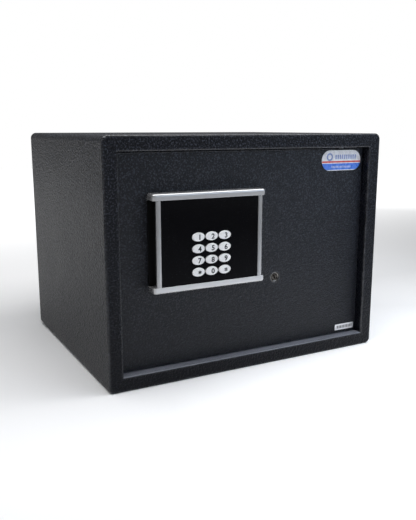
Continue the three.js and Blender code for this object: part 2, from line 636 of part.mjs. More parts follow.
function lockPlug() {
  const face = CYLINDER_SUNK + PLUG_SUNK;
  const body = rod("y", PLUG_R, [face, CAM_Y0 - GAP], [0, 0]);
  const shank = block([-SHANK / 2, SHANK / 2], [CAM_Y0 - GAP - 1, CAM_Y1 + 1.5], [-SHANK / 2, SHANK / 2]);
  const { width, height, depth, tilt } = KEYWAY;
  const slot = new THREE.BoxGeometry(width, depth, height).rotateY(tilt);
  return cut(join(body, shank), solid(slot.translate(0, face + depth / 2 - 1, 0)));
}

function lockCam() {
  const { reach, width, hub } = CAM;
  const arm = block([-reach, 0], [CAM_Y0, CAM_Y1], [-width / 2, width / 2]);
  const disc = rod("y", hub, [CAM_Y0, CAM_Y1], [0, 0], 24);
  const half = SHANK / 2 + 0.15;
  return cut(join(arm, disc), block([-half, half], [CAM_Y0 - 1, CAM_Y1 + 1], [-half, half]));
}

function lockNut() {
  const y = [DOOR_T + GAP, DOOR_T + GAP + NUT.thick];
  return cut(rod("y", NUT.r, y, [0, 0], 6), rod("y", CYLINDER_R + GAP, [y[0] - 1, y[1] + 1], [0, 0]));
}

const override = new THREE.Group();
override.position.set(KEYHOLE.x, 0, KEYHOLE.z);
door.add(override);
place(override, "lock_cylinder", lockCylinder(), brightSteel);
place(override, "lock_plug", lockPlug(), brightSteel);
place(override, "lock_cam", lockCam(), zincSteel);
place(override, "lock_nut", lockNut(), zincSteel);

// ---- Batteries and electronics inside the door ----
function batteryBox() {
  const y0 = TRAY.y1 - TRAY_DEPTH;
  const [x, z] = [TRAY.x + TRAY_WALL, TRAY.z + TRAY_WALL];
  const outer = block([-x, x], [y0, TRAY.y1], [-z, z]);
  return cut(outer, block([-TRAY.x, TRAY.x], [y0 + TRAY_WALL, TRAY.y1 + 1], [-TRAY.z, TRAY.z]));
}

function batteryCell(up) {
  const { r, long } = CELL;
  const profile = [[0, -long / 2], [r - 0.6, -long / 2], [r, -long / 2 + 0.6], [r, long / 2 - 1.6],
    [r - 0.6, long / 2 - 1], [2.7, long / 2 - 1], [2.7, long / 2], [0, long / 2]];
  const points = profile.map(([radius, along]) => new THREE.Vector2(radius, along));
  return solid(new THREE.LatheGeometry(points, 16).rotateX(up ? Math.PI / 2 : -Math.PI / 2));
}

function batteryLid() {
  const y = [COVER_Y[1] + LID.clear, COVER_Y[1] + LID.clear + LID.thick];
  const plate = block([-LID_HALF.x, LID_HALF.x], y, [-LID_HALF.z, LID_HALF.z]);
  const inner = LID_HALF.x - RAIL.lip - 2;
  const ridges = [0, 1, 2, 3].map((i) => {
    const z = LID_HALF.z - 8 - i * 4;
    return block([-inner / 2, inner / 2], [y[1] - 0.5, y[1] + 1], [z - 0.8, z + 0.8]);
  });
  return join(plate, ...ridges);
}

function controlBoard() {
  const around = (middle, size) => [middle - size / 2, middle + size / 2];
  const plate = block(around(0, BOARD.width), [0, BOARD.thick], around(0, BOARD.height));
  const parts = COMPONENTS.map(({ x, z, width, height, tall }) =>
    block(around(x, width), [BOARD.thick - 0.5, BOARD.thick + tall], around(z, height)),
  );
  return join(plate, ...parts);
}

function resetButton() {
  const back = BOARD.depth + BOARD.thick + RESET_SWITCH.tall + RESET.travel + GAP;
  const face = COVER_Y[1] + RESET.proud;
  const collar = COVER_Y[0] - RESET.collar;
  const stem = RESET.r / 2;
  const profile = [[back, 0], [back, stem], [collar, stem], [collar, RESET.r], [face - 0.6, RESET.r],
    [face, RESET.r - 0.6], [face, 0]];
  return turned(profile, [0, 0], 20);
}

place(door, "battery_box", batteryBox(), blackPlastic, [BATTERY.x, 0, BATTERY.z]);
for (let i = 0; i < CELLS; i++) {
  const x = BATTERY.x + (i - (CELLS - 1) / 2) * CELL_PITCH;
  const y = TRAY.y1 - TRAY_DEPTH + TRAY_WALL + CELL.r + 1;
  place(door, "battery_" + (i + 1), batteryCell(i % 2 === 0), cellBlue, [x, y, BATTERY.z]);
}
place(door, "battery_cover", batteryLid(), blackPlastic, [BATTERY.x, 0, BATTERY.z]);
place(door, "control_board", controlBoard(), boardGreen, [BOARD.x, BOARD.depth, BOARD_Z]);
place(door, "reset_button", resetButton(), resetRed, [RESET_X, 0, RESET_Z]);

// ---- Keypad unit. In this group the origin is its middle, on the door's face. It stands out to -Y. ----
const unit = new THREE.Group();
unit.position.set(UNIT_X, 0, UNIT_Z);
door.add(unit);

const BAR_INNER_Z = UNIT.height / 2 - BAR_HIGH;
const STRIP_X = UNIT.width / 2 - STRIP_INSET; // outer edge of a side strip
const FASCIA_X = STRIP_X - STRIP_WIDE - GAP;
const FASCIA_Z = BAR_INNER_Z - GAP;
const FASCIA_Y = [-UNIT_PROUD + FASCIA_SUNK, -UNIT_PROUD + FASCIA_SUNK + FASCIA_T];
const HOUSING_Y = FASCIA_Y[1] + GAP;

// A bar drawn from above, with its front corners turned back to the door and its outer edge rounded.
function trimBar(side) {
  const w = UNIT.width / 2;
  const r = BAR_CORNER_R;
  const behind = BAR_EDGE_R + 1; // cut off again, so that the back stays square
  const shape = new THREE.Shape();
  shape.moveTo(-w, behind).lineTo(-w, -UNIT_PROUD + r);
  shape.absarc(-w + r, -UNIT_PROUD + r, r, Math.PI, (3 * Math.PI) / 2);
  shape.absarc(w - r, -UNIT_PROUD + r, r, -Math.PI / 2, 0);
  shape.lineTo(w, behind);
  const long = new THREE.ExtrudeGeometry(shape, {
    depth: BAR_HIGH,
    bevelEnabled: true,
    bevelThickness: BAR_EDGE_R,
    bevelSize: BAR_EDGE_R,
    bevelOffset: -BAR_EDGE_R,
    bevelSegments: 4,
    curveSegments: 6,
  });
  const outer = UNIT.height / 2;
  const z0 = side > 0 ? outer - BAR_HIGH - BAR_EDGE_R : -outer + BAR_EDGE_R;
  const bar = solid(long.translate(0, 0, z0));
  return bar.trimByPlane([0, 0, side], BAR_INNER_Z).trimByPlane([0, -1, 0], GAP);
}

function trimStrip(side) {
  const x = side * (STRIP_X - STRIP_WIDE / 2);
  const y0 = -UNIT_PROUD + FASCIA_SUNK / 2;
  const outline = rectangle(STRIP_WIDE, 2 * (BAR_INNER_Z - GAP), 0, x, 0);
  return upright(outline, [y0, y0 + STRIP_T], STRIP_EDGE_R);
}

// The unit's body: a foot on the door, a wall that leans back for the fingers, and a pocket for the board.
function keypadHousing() {
  const left = -UNIT.width / 2;
  const right = STRIP_X;
  const z = BAR_INNER_Z - GAP;
  const crest = -STRIP_X + STRIP_WIDE + GRIP_BEHIND;
  const y = -GAP;
  const front = HOUSING_Y + STRIP_T - FASCIA_T + GAP; // behind the strips
  const steps = 6;
  const scoop = Array.from({ length: steps + 1 }, (_, i) => {
    const turn = ((i / steps) * Math.PI) / 2;
    return [crest + GRIP_SLOPE * (Math.sin(turn) - 1), -BASE_T + (front + BASE_T) * (1 - Math.cos(turn))];
  });
  const plan = polygon([[left, y], [left, -BASE_T], ...scoop, [right, front], [right, y]]);
  const drawn = new THREE.ExtrudeGeometry(plan, { depth: 2 * z, bevelEnabled: false });
  const body = solid(drawn.translate(0, 0, -z));
  const w = POCKET_WALL;
  const raised = block([-FASCIA_X + w, FASCIA_X - w], [HOUSING_Y, front + 1], [-z, z]);
  const pocketX = FASCIA_X - w - RIM_LAP;
  const pocket = block([-pocketX, pocketX], [HOUSING_Y - 1, -BASE_T - 1], [-z + w, z - w]);
  const cableHole = rod("y", CABLE_HOLE_R - 1, [-BASE_T - 2, 1], [0, 0], 24);
  return cut(join(body, raised), pocket, cableHole);
}

function keyPlace(i) {
  const column = (i % KEY_COLUMNS) - (KEY_COLUMNS - 1) / 2;
  const fromLast = KEY_NAMES.length / KEY_COLUMNS - 1 - Math.floor(i / KEY_COLUMNS);
  return [column * KEY_PITCH.x, -BAR_INNER_Z + LAST_ROW + fromLast * KEY_PITCH.z];
}

function oval(width, height, x = 0, z = 0) {
  return new THREE.Shape().absellipse(x, z, width / 2, height / 2, 0, 2 * Math.PI, false, 0);
}

function fascia() {
  const plate = upright(rectangle(2 * FASCIA_X, 2 * FASCIA_Z), FASCIA_Y);
  const holes = KEY_NAMES.map((_, i) => {
    const [x, z] = keyPlace(i);
    const outline = oval(KEY.width + 2 * KEY.clear, KEY.height + 2 * KEY.clear, x, z);
    return upright(outline, [FASCIA_Y[0] - 1, FASCIA_Y[1] + 1], 0, KEY_SIDES / 2);
  });
  return cut(plate, ...holes);
}

// An oval key with a crowned face, kept in by a tab behind the fascia.
function key() {
  const back = FASCIA_Y[1] + GAP + KEY_TAB.thick;
  const face = FASCIA_Y[0] - KEY.proud;
  const cap = upright(oval(KEY.width, KEY.height), [face, back], KEY.dome, KEY_SIDES / 2);
  const z = KEY.height / 2 + KEY_TAB.over;
  const tab = block([-KEY_TAB.width / 2, KEY_TAB.width / 2], [back - KEY_TAB.thick, back], [-z, z]);
  return join(cap, tab);
}

const MAT_FRONT = FASCIA_Y[1] + GAP + KEY_TAB.thick + KEY.travel + GAP;
const BOARD_Y = -UNIT_PROUD + BOARD_SETBACK;

function keyMat() {
  const [x, z0] = keyPlace(KEY_NAMES.length - 1);
  const z1 = keyPlace(0)[1];
  const [overX, overZ] = [KEY.width / 2 + 2, KEY.height / 2 + KEY_TAB.over + 0.4];
  return block([-x - overX, x + overX], [MAT_FRONT, BOARD_Y - GAP], [z0 - overZ, z1 + overZ]);
}

function keypadBoard() {
  const x = FASCIA_X - POCKET_WALL - 2 * RIM_LAP;
  const z = BAR_INNER_Z - POCKET_WALL - 2;
  return block([-x, x], [BOARD_Y, BOARD_Y + ELECTRONICS_T], [-z, z]);
}

function displayModule() {
  const { width, aboveKeys, belowBar } = DISPLAY;
  const bottom = keyPlace(0)[1] + KEY.height / 2 + aboveKeys;
  const y = [FASCIA_Y[1] + 2 * GAP, BOARD_Y - GAP];
  return block([-width / 2, width / 2], y, [bottom, BAR_INNER_Z - belowBar]);
}

place(unit, "keypad_housing", keypadHousing(), blackPlastic);
place(unit, "trim_top", trimBar(1), satinSilver);
place(unit, "trim_bottom", trimBar(-1), satinSilver);
place(unit, "trim_left", trimStrip(-1), satinSilver);
place(unit, "trim_right", trimStrip(1), satinSilver);
place(unit, "fascia", fascia(), glossBlack);
place(unit, "key_mat", keyMat(), siliconeGrey);
place(unit, "keypad_board", keypadBoard(), boardGreen);
place(unit, "display_module", displayModule(), blackPlastic);
KEY_NAMES.forEach((name, i) => {
  const [x, z] = keyPlace(i);
  place(unit, "key_" + name, key(), keyWhite, [x, 0, z]);
});

// ---- Plates on the door's face ----
function facePlate({ width, height, thick }, r, curveSegments) {
  return upright(rectangle(width, height, r), [-LABEL_GAP - thick, -LABEL_GAP], 0, curveSegments);
}

const sticker = facePlate(STICKER, STICKER.height / 2 - 0.01, 6);
const rating = facePlate(RATING, RATING.corner, 2);
const stickerX = DOOR.x - STICKER.right - STICKER.width / 2;
const stickerZ = DOOR.z1 - STICKER.top - STICKER.height / 2;
const ratingX = DOOR.x - RATING.right - RATING.width / 2;
const ratingZ = DOOR.z0 + RATING.bottom + RATING.height / 2;
place(door, "label_sticker", sticker, satinSilver, [stickerX, 0, stickerZ]);
place(door, "rating_plate", rating, satinSilver, [ratingX, 0, ratingZ]);

export default safe;
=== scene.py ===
"""The looks of a small electronic safe, built around its frame. Metres, +Z up, the door faces -Y."""
import math
import bmesh
import bpy
from mathutils import Matrix, Vector


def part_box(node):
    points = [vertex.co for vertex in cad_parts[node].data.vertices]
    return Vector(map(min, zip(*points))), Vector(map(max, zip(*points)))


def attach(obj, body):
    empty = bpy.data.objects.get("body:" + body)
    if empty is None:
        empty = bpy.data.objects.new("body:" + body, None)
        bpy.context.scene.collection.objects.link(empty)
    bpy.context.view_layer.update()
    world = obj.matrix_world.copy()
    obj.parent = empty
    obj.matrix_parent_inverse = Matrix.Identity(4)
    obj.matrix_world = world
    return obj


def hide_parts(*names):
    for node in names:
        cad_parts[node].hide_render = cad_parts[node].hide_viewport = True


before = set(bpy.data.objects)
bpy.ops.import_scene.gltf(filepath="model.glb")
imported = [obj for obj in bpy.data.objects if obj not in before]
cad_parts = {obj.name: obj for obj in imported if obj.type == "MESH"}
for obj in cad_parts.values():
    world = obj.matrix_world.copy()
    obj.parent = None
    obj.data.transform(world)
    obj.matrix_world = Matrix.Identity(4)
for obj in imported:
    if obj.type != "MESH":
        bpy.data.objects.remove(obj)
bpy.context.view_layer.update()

MM = 0.001
SMOOTH_ANGLE = math.radians(40)
POINT = 0.01 * MM  # the radius of a ring that stands for a point
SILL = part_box("door_plate")[0].z - 1.5 * MM  # the height of the doorway's lower edge
scene = bpy.context.scene
scene.view_settings.view_transform = "Standard"


# ---- Camera and light ----
def add_object(name, data):
    made = bpy.data.objects.new(name, data)
    scene.collection.objects.link(made)
    return made


def aim(thing, ahead):
    """Turns a camera or light to look along a vector."""
    thing.rotation_euler = ahead.to_track_quat("-Z", "Y").to_euler()


def make_camera():
    lens = bpy.data.cameras.new("camera")
    lens.lens = 44.25
    lens.sensor_width = 36
    camera = add_object("camera", lens)
    camera.location = (-0.42105, -0.81481, 0.30023)
    yaw, pitch = 0.49434, -0.20394
    level = math.cos(pitch)
    aim(camera, Vector((math.sin(yaw) * level, math.cos(yaw) * level, math.sin(pitch))))
    scene.camera = camera


def area_light(name, place, target, size, power, colour=(1, 1, 1)):
    """A soft rectangular light that faces its target, and that the camera doesn't see."""
    lamp = bpy.data.lights.new(name, "AREA")
    lamp.shape = "RECTANGLE"
    lamp.size, lamp.size_y = size
    lamp.energy = power
    lamp.color = colour
    light = add_object(name, lamp)
    light.visible_camera = False
    light.location = place
    aim(light, Vector(target) - Vector(place))


def make_lights():
    cool = (0.7, 0.83, 1)
    area_light("light_above", (0, -0.18, 0.8), (0, -0.18, 0), (1.3, 0.5), 11)
    area_light("light_behind", (-0.2, 1.5, 1.9), (-0.2, 1.5, 0), (3.4, 1.4), 12)
    area_light("light_front", (0.4, -1.0, 0.5), (0, 0, 0.08), (0.4, 0.3), 1.15, cool)
    area_light("light_floor", (0.36, -0.42, 0.36), (0.3, -0.4, 0), (0.26, 0.26), 0.7, cool)


# ---- Shader building ----
class Value:
    """One output socket of a shader tree. Arithmetic on it adds Math nodes."""

    def __init__(self, shader, socket):
        self.shader = shader
        self.socket = socket

    def math(self, operation, *others):
        return self.shader.math(operation, self, *others)

    def __add__(self, other):
        return self.math("ADD", other)

    def __sub__(self, other):
        return self.math("SUBTRACT", other)

    def __rsub__(self, other):
        return self.shader.math("SUBTRACT", other, self)

    def __mul__(self, other):
        return self.math("MULTIPLY", other)

    __radd__ = __add__
    __rmul__ = __mul__

    def clamped(self):
        return self.shader.node("Clamp", inputs={0: self})

    def above(self, level, blur):
        """1 where the value is over a level and 0 under it, fading over blur."""
        return ((self - level) * (1 / blur) + 0.5).clamped()


class Shader:
    """A node tree being built: a finish, or the surroundings."""

    def __init__(self, name=None, tree=None):
        if tree is None:
            self.material = bpy.data.materials.new(name)
            self.material.use_nodes = True
            tree = self.material.node_tree
        self.tree = tree
        self.tree.nodes.clear()

    def node(self, kind, settings=None, inputs=None, output=0):
        """Adds a node, sets its settings, then the values or links of its sockets, and gives one output."""
        made = self.tree.nodes.new("ShaderNode" + kind)
        for name, value in (settings or {}).items():
            setattr(made, name, value)
        for key, value in (inputs or {}).items():
            if isinstance(value, Value):
                self.tree.links.new(value.socket, made.inputs[key])
            else:
                made.inputs[key].default_value = value
        if not made.outputs:
            return None
        return Value(self, made.outputs[output])

    def math(self, operation, *values):
        return self.node("Math", {"operation": operation}, dict(enumerate(values)))

    def mix(self, share, a, b):
        """From colour a to colour b."""
        def full(colour):
            return colour if isinstance(colour, Value) else (*colour, 1)
        return self.node("Mix", {"data_type": "RGBA"}, {0: share, 6: full(a), 7: full(b)}, 2)

    def place(self, stretch=(1, 1, 1)):
        """The point on the piece in metres, with each axis stretched."""
        point = self.node("TexCoord", output="Object")
        if stretch == (1, 1, 1):
            return point
        return self.node("VectorMath", {"operation": "MULTIPLY"}, {0: point, 1: stretch})

    def axes(self):
        point = self.place()
        return [self.node("SeparateXYZ", inputs={0: point}, output=i) for i in range(3)]

    def noise(self, size, detail=2.0, rough=0.5, stretch=(1, 1, 1)):
        """Soft noise, 0 to 1, with features about size metres across."""
        sockets = {"Vector": self.place(stretch), "Scale": 1 / size, "Detail": detail, "Roughness": rough}
        return self.node("TexNoise", inputs=sockets)

    def cells(self, size, feature="F1"):
        """Distances in a pattern of cells about size metres across."""
        sockets = {"Vector": self.place(), "Scale": 1 / size}
        return self.node("TexVoronoi", {"feature": feature}, sockets, "Distance")

    def edges(self, reach):
        """Near 1 on an edge and 0 on flat ground."""
        rounded = self.node("Bevel", {"samples": 4}, {"Radius": reach})
        flat = self.node("NewGeometry", output="Normal")
        along = self.node("VectorMath", {"operation": "DOT_PRODUCT"}, {0: rounded, 1: flat}, "Value")
        return ((1 - along) * 5).clamped()

    def bump(self, height, depth):
        """A relief of depth metres."""
        return self.node("Bump", inputs={"Height": height, "Distance": depth, "Strength": 1.0})

    def surface(self, colour, roughness, metallic=0.0, normal=None, coat=0.0, glow=None, **fixed):
        """Closes the finish. Values in fixed are the same all over it."""
        sockets = {"Base Color": colour, "Roughness": roughness, "Metallic": metallic, "Coat Weight": coat}
        if not isinstance(colour, Value):
            sockets["Base Color"] = (*colour, 1)
        if normal is not None:
            sockets["Normal"] = normal
        if glow is not None:
            sockets["Emission Color"] = glow
            sockets["Emission Strength"] = 1.0
        names = {
            "specular": "Specular IOR Level",
            "coat_roughness": "Coat Roughness",
            "sheen": "Sheen Weight",
        }
        for name, value in fixed.items():
            sockets[names[name]] = value
        body = self.node("BsdfPrincipled", inputs=sockets)
        self.node("OutputMaterial", inputs={"Surface": body})
        return self.material


def make_surroundings():
    """A white studio behind and a dim room in front, against a plain white backdrop."""
    world = bpy.data.worlds.new("studio")
    world.use_nodes = True
    scene.world = world
    sky = Shader(tree=world.node_tree)
    point = sky.node("TexCoord", output="Generated")
    ahead = sky.node("SeparateXYZ", inputs={0: point}, output=1)
    height = sky.node("SeparateXYZ", inputs={0: point}, output=2)
    white = ((ahead + 0.04) * 2.2).clamped() * (1 - height.above(0.5, 0.3))
    seen = sky.node("LightPath", output="Is Camera Ray")
    dim_room, studio = 0.03, 0.25
    strength = dim_room + white * studio
    strength = strength + seen * (1 - strength)
    cool, neutral = (0.6, 0.78, 1), (1, 1, 1)
    colour = sky.mix((white + seen).clamped(), cool, neutral)
    light = sky.node("Background", inputs={"Color": colour, "Strength": strength})
    sky.node("OutputWorld", inputs={"Surface": light})


# ---- Finishes ----
def powder_coat(name, colour, glint_strength, grain, depth, gloss):
    """Black powder coat with a fine hammered grain, glossier on its edges, with painted glints that grow
    stronger towards the top and a painted highlight on the up-facing faces of the doorway's lower edge.
    """
    paint = Shader(name)
    lumps = paint.cells(grain)
    dimples = paint.noise(grain, 3, 0.6)
    cloud = paint.noise(70 * MM, 3)
    relief = paint.bump(lumps * 0.6 + dimples, depth)
    height = paint.axes()[2]

    # Painted glints: pale bluish dots in the base colour stand for light glinting on the grain, stronger
    # towards the top.
    glint_specks = paint.noise(grain * 0.8, 2).above(0.57, 0.1)
    glint_tint = (0.88, 0.96, 1.2)
    pale = [c * 2 + glint_strength * tint for c, tint in zip(colour, glint_tint)]
    tone = paint.mix((glint_specks * (height * 2.6 + cloud * 0.5 - 0.1)).clamped(), colour, pale)

    edge = (paint.edges(2.5 * MM) * 4).clamped()
    worn = (edge * paint.noise(6 * MM, 3).above(0.5, 0.3)).clamped()
    edge_grey = (0.11, 0.113, 0.125)
    tone = paint.mix(worn * 0.35, tone, edge_grey)

    # Painted highlight: the up-facing faces at the height of the doorway's lower edge are made a pale
    # bluish grey, as if lit from above.
    normal = paint.node("NewGeometry", output="Normal")
    facing_up = paint.node("SeparateXYZ", inputs={0: normal}, output=2).above(0.5, 0.4)
    below, over = 1.2 * MM, 1.5 * MM
    sill_highlight = facing_up * height.above(SILL - below, MM) * (1 - height.above(SILL + over, MM))
    sill_highlight_tone = (0.2, 0.21, 0.245)
    tone = paint.mix(sill_highlight * (0.6 + cloud * 0.4), tone, sill_highlight_tone)

    rough = 0.3 + lumps * 0.12 + cloud * 0.08
    return paint.surface(tone, rough, normal=relief, coat=edge, specular=gloss, coat_roughness=0.18)


def satin_metal(name, colour, rough, along):
    """Satin metal with a fine brushed line along one axis."""
    metal = Shader(name)
    stretch = tuple(0.02 if axis == along else 1 for axis in "xyz")
    line = metal.noise(0.5 * MM, 3, 0.6, stretch)
    cloud = metal.noise(20 * MM, 3)
    dark = [c * 0.82 for c in colour]
    tone = metal.mix((line * 0.7 + cloud * 0.3).clamped(), dark, colour)
    worn = metal.edges(0.6 * MM)
    tone = metal.mix(worn * 0.35, tone, [min(1, c * 1.25) for c in colour])
    normal = metal.bump(line, 0.005 * MM)
    return metal.surface(tone, rough + line * 0.1 - worn * 0.08, 0.7, normal)


def gloss_plastic(name, colour):
    """High gloss acrylic with faint smears and a little dust."""
    gloss = Shader(name)
    smear = gloss.noise(12 * MM, 4, 0.6)
    dust = gloss.noise(0.7 * MM, 1).above(0.74, 0.05)
    tone = gloss.mix(dust * 0.12, colour, (0.25, 0.25, 0.27))
    rough = 0.07 + smear * 0.07 + dust * 0.3
    return gloss.surface(tone, rough, specular=0.04)


def moulded_plastic(name, colour, rough=0.5, gloss=0.4):
    """Injection-moulded plastic with a spark-eroded grain and rubbed edges."""
    plastic = Shader(name)
    pits = plastic.noise(0.4 * MM, 2, 0.6)
    cloud = plastic.noise(30 * MM, 3)
    tone = plastic.mix((pits * 0.5 + cloud * 0.5).clamped(), colour, [c * 1.5 + 0.004 for c in colour])
    rubbed = plastic.edges(0.5 * MM)
    tone = plastic.mix(rubbed * 0.3, tone, [c * 2 + 0.03 for c in colour])
    relief = plastic.bump(pits, 0.06 * MM)
    return plastic.surface(tone, rough + pits * 0.14 - rubbed * 0.12, normal=relief, specular=gloss)


def key_plastic():
    """Silver-white keys, faintly mottled, with a painted highlight that makes the rim brighter."""
    cap = Shader("key_cap_white")
    mottle = cap.noise(1.1 * MM, 4, 0.65)
    tone = cap.mix((mottle * 1.6 - 0.3).clamped(), (0.72, 0.72, 0.73), (0.97, 0.96, 0.95))
    # Painted highlight: the rim is made near white all round.
    rim = cap.edges(0.9 * MM)
    tone = cap.mix(rim, tone, (0.97, 0.97, 0.98))
    return cap.surface(tone, 0.22 + mottle * 0.15, normal=cap.bump(mottle, 0.02 * MM))


def zinc_plate():
    """Dull zinc plating, blotched and a little yellow."""
    zinc = Shader("zinc_plate")
    blotch = zinc.noise(9 * MM, 5, 0.65)
    fine = zinc.noise(0.7 * MM, 3, 0.6)
    tone = zinc.mix((blotch * 0.8 + fine * 0.3).clamped(), (0.38, 0.37, 0.33), (0.62, 0.62, 0.6))
    worn = zinc.edges(0.6 * MM)
    tone = zinc.mix(worn * 0.4, tone, (0.75, 0.75, 0.75))
    return zinc.surface(tone, 0.34 + fine * 0.2 - worn * 0.1, 1.0, zinc.bump(fine, 0.03 * MM))


def turned_steel(name, along, colour=(0.62, 0.62, 0.64)):
    """Nickel-plated steel with fine turning rings along its axis."""
    steel = Shader(name)
    stretch = tuple(1 if axis == along else 0.03 for axis in "xyz")
    rings = steel.noise(0.35 * MM, 3, 0.65, stretch)
    scuff = steel.noise(4 * MM, 4, 0.7).above(0.6, 0.2)
    tone = steel.mix(rings, [c * 0.8 for c in colour], colour)
    tone = steel.mix(scuff * 0.25, tone, (0.42, 0.4, 0.37))
    return steel.surface(tone, 0.17 + rings * 0.12 + scuff * 0.12, 1.0, steel.bump(rings, 0.02 * MM))


def felt():
    """Needled grey felt: short fibres every way, with a nap."""
    wool = Shader("needled_felt")
    fibres = wool.noise(0.6 * MM, 6, 0.8)
    strands = wool.noise(0.9 * MM, 3, 0.7, (1, 0.25, 1)) + wool.noise(0.9 * MM, 3, 0.7, (0.25, 1, 1))
    cloud = wool.noise(30 * MM, 4)
    share = (fibres * 0.6 + strands * 0.35 + cloud * 0.3 - 0.2).clamped()
    tone = wool.mix(share, (0.025, 0.026, 0.03), (0.13, 0.132, 0.14))
    normal = wool.bump(fibres + strands * 0.5, 0.6 * MM)
    return wool.surface(tone, 0.95, normal=normal, sheen=0.4, specular=0.1)


def circuit_board():
    """Green solder resist over copper traces, with tinned pads."""
    board = Shader("circuit_board")
    traces = board.cells(6 * MM, "DISTANCE_TO_EDGE")
    copper = 1 - traces.above(0.09, 0.03)
    pads = 1 - board.cells(3.5 * MM).above(0.16, 0.05)
    weave = board.noise(0.5 * MM, 2)
    resist, over_copper = (0.012, 0.075, 0.035), (0.03, 0.17, 0.07)
    glass, tin = (0.05, 0.2, 0.1), (0.62, 0.6, 0.56)
    tone = board.mix(copper * 0.7, resist, over_copper)
    tone = board.mix(weave * 0.2, tone, glass)
    tone = board.mix(pads, tone, tin)
    normal = board.bump(copper * 0.5 + pads, 0.04 * MM)
    return board.surface(tone, 0.3 + weave * 0.15, pads * 0.9, normal)


def cell_sleeve():
    """Printed film round a battery: blue, with a pale band near each end."""
    film = Shader("battery_sleeve")
    low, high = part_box("battery_1")
    length = high.z - low.z
    distance = (film.axes()[2] - (low.z + high.z) / 2).math("ABSOLUTE")
    blur = 0.3 * MM
    band = distance.above(length * 0.3, blur) * (1 - distance.above(length * 0.38, blur))
    scuff = film.noise(1.8 * MM, 4, 0.7)
    blue, silver, scuffed = (0.02, 0.075, 0.3), (0.72, 0.73, 0.75), (0.01, 0.03, 0.12)
    tone = film.mix(band, blue, silver)
    tone = film.mix(scuff * 0.25, tone, scuffed)
    return film.surface(tone, 0.22 + scuff * 0.15, 0.3, film.bump(scuff, 0.03 * MM))


def printed_film():
    """Label: a pale field with plain bars and a ring over a thin red line and a blue foot."""
    low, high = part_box("label_sticker")
    film = Shader("label_film")
    x, _, z = film.axes()
    width, height = high.x - low.x, high.z - low.z
    across = (x - (low.x + high.x) / 2) * (2 / width)
    up = (z - low.z) * (1 / height)
    shine = film.noise(4 * MM, 3)
    ink, red, blue = (0.12, 0.2, 0.5), (0.72, 0.07, 0.06), (0.06, 0.2, 0.75)
    pale_ink, rim_grey = (0.7, 0.75, 0.85), (0.75, 0.76, 0.78)

    def band(value, start, end, blur=0.02):
        return value.above(start, blur) * (1 - value.above(end, blur))

    tone = film.mix((up - 0.4).clamped() + shine * 0.3, (0.95, 0.94, 0.96), (0.6, 0.6, 0.64))
    dashes = band((across * 9).math("FRACT"), 0.12, 0.82, 0.1)
    title = band(up, 0.56, 0.78) * band(across, -0.34, 0.78) * dashes
    tone = film.mix(title * 0.75, tone, ink)
    aside = across + 0.6
    over = (up - 0.67) * (height / width * 2)
    ring = band((aside.math("POWER", 2) + over.math("POWER", 2)).math("SQRT"), 0.09, 0.16)
    tone = film.mix(ring * 0.8, tone, ink)
    tone = film.mix(band(up, 0.39, 0.47), tone, red)
    tone = film.mix(1 - up.above(0.35, 0.02), tone, blue)
    small_dashes = band((across * 14).math("FRACT"), 0.2, 0.7, 0.1)
    small = band(up, 0.13, 0.23) * band(across, -0.5, 0.5) * small_dashes
    tone = film.mix(small * 0.8, tone, pale_ink)
    rim = across.math("ABSOLUTE").above(0.985, 0.01) + up.above(0.96, 0.02) + (1 - up.above(0.04, 0.02))
    tone = film.mix(rim.clamped(), tone, rim_grey)
    return film.surface(tone, 0.2 + shine * 0.15, 0.1, coat=0.4)


def printed_foil():
    """Small plate: satin foil with a fine border and plain bars."""
    low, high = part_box("rating_plate")
    foil = Shader("plate_foil")
    x, _, z = foil.axes()
    across = (x - (low.x + high.x) / 2).math("ABSOLUTE") * (2 / (high.x - low.x))
    up = (z - (low.z + high.z) / 2).math("ABSOLUTE") * (2 / (high.z - low.z))
    line = foil.noise(0.6 * MM, 3, 0.6, (0.03, 1, 1))
    tone = foil.mix(line, (0.5, 0.5, 0.52), (0.78, 0.78, 0.8))
    dashes_a_metre = 370
    dashes = (x * dashes_a_metre).math("FRACT").above(0.3, 0.1)
    bars = (1 - up.above(0.5, 0.08)) * (1 - across.above(0.84, 0.02)) * dashes
    tone = foil.mix(bars * 0.9, tone, (0.04, 0.04, 0.045))
    return foil.surface(tone, 0.3 + line * 0.12, 0.75)


# ---- Mesh building ----
def finish_mesh(piece_mesh, sharp=SMOOTH_ANGLE):
    """Smooth shading, apart from edges sharper than an angle."""
    work = bmesh.new()
    work.from_mesh(piece_mesh)
    bmesh.ops.recalc_face_normals(work, faces=work.faces)
    for face in work.faces:
        face.smooth = True
    for edge in work.edges:
        edge.smooth = len(edge.link_faces) == 2 and edge.calc_face_angle(0) < sharp
    work.to_mesh(piece_mesh)
    work.free()


def mesh_of(name, points, faces):
    """A mesh from points and faces, with its shading finished."""
    made = bpy.data.meshes.new(name)
    made.from_pydata([tuple(p) for p in points], [], faces)
    finish_mesh(made)
    return made


def loft(name, rings, looped=False):
    """Skins rings that have the same number of points. Its ends are closed, or joined to each other."""
    count = len(rings[0])
    points = [p for ring in rings for p in ring]
    pairs = list(zip(range(len(rings)), range(1, len(rings))))
    if looped:
        pairs.append((len(rings) - 1, 0))
    faces = [
        (a * count + i, a * count + (i + 1) % count, b * count + (i + 1) % count, b * count + i)
        for a, b in pairs
        for i in range(count)
    ]
    if not looped:
        faces.append(tuple(range(count)))
        faces.append(tuple(range(len(points) - count, len(points))))
    return mesh_of(name, points, faces)


def arc(centre, r, start, end, steps):
    """Points on an arc in a plane, with angles in degrees."""
    turns = [math.radians(start + (end - start) * i / steps) for i in range(steps + 1)]
    return [(centre[0] + r * math.cos(t), centre[1] + r * math.sin(t)) for t in turns]


def quarter_turn(steps):
    """The angles of a quarter turn, both ends included."""
    return [math.radians(90 * i / steps) for i in range(steps + 1)]


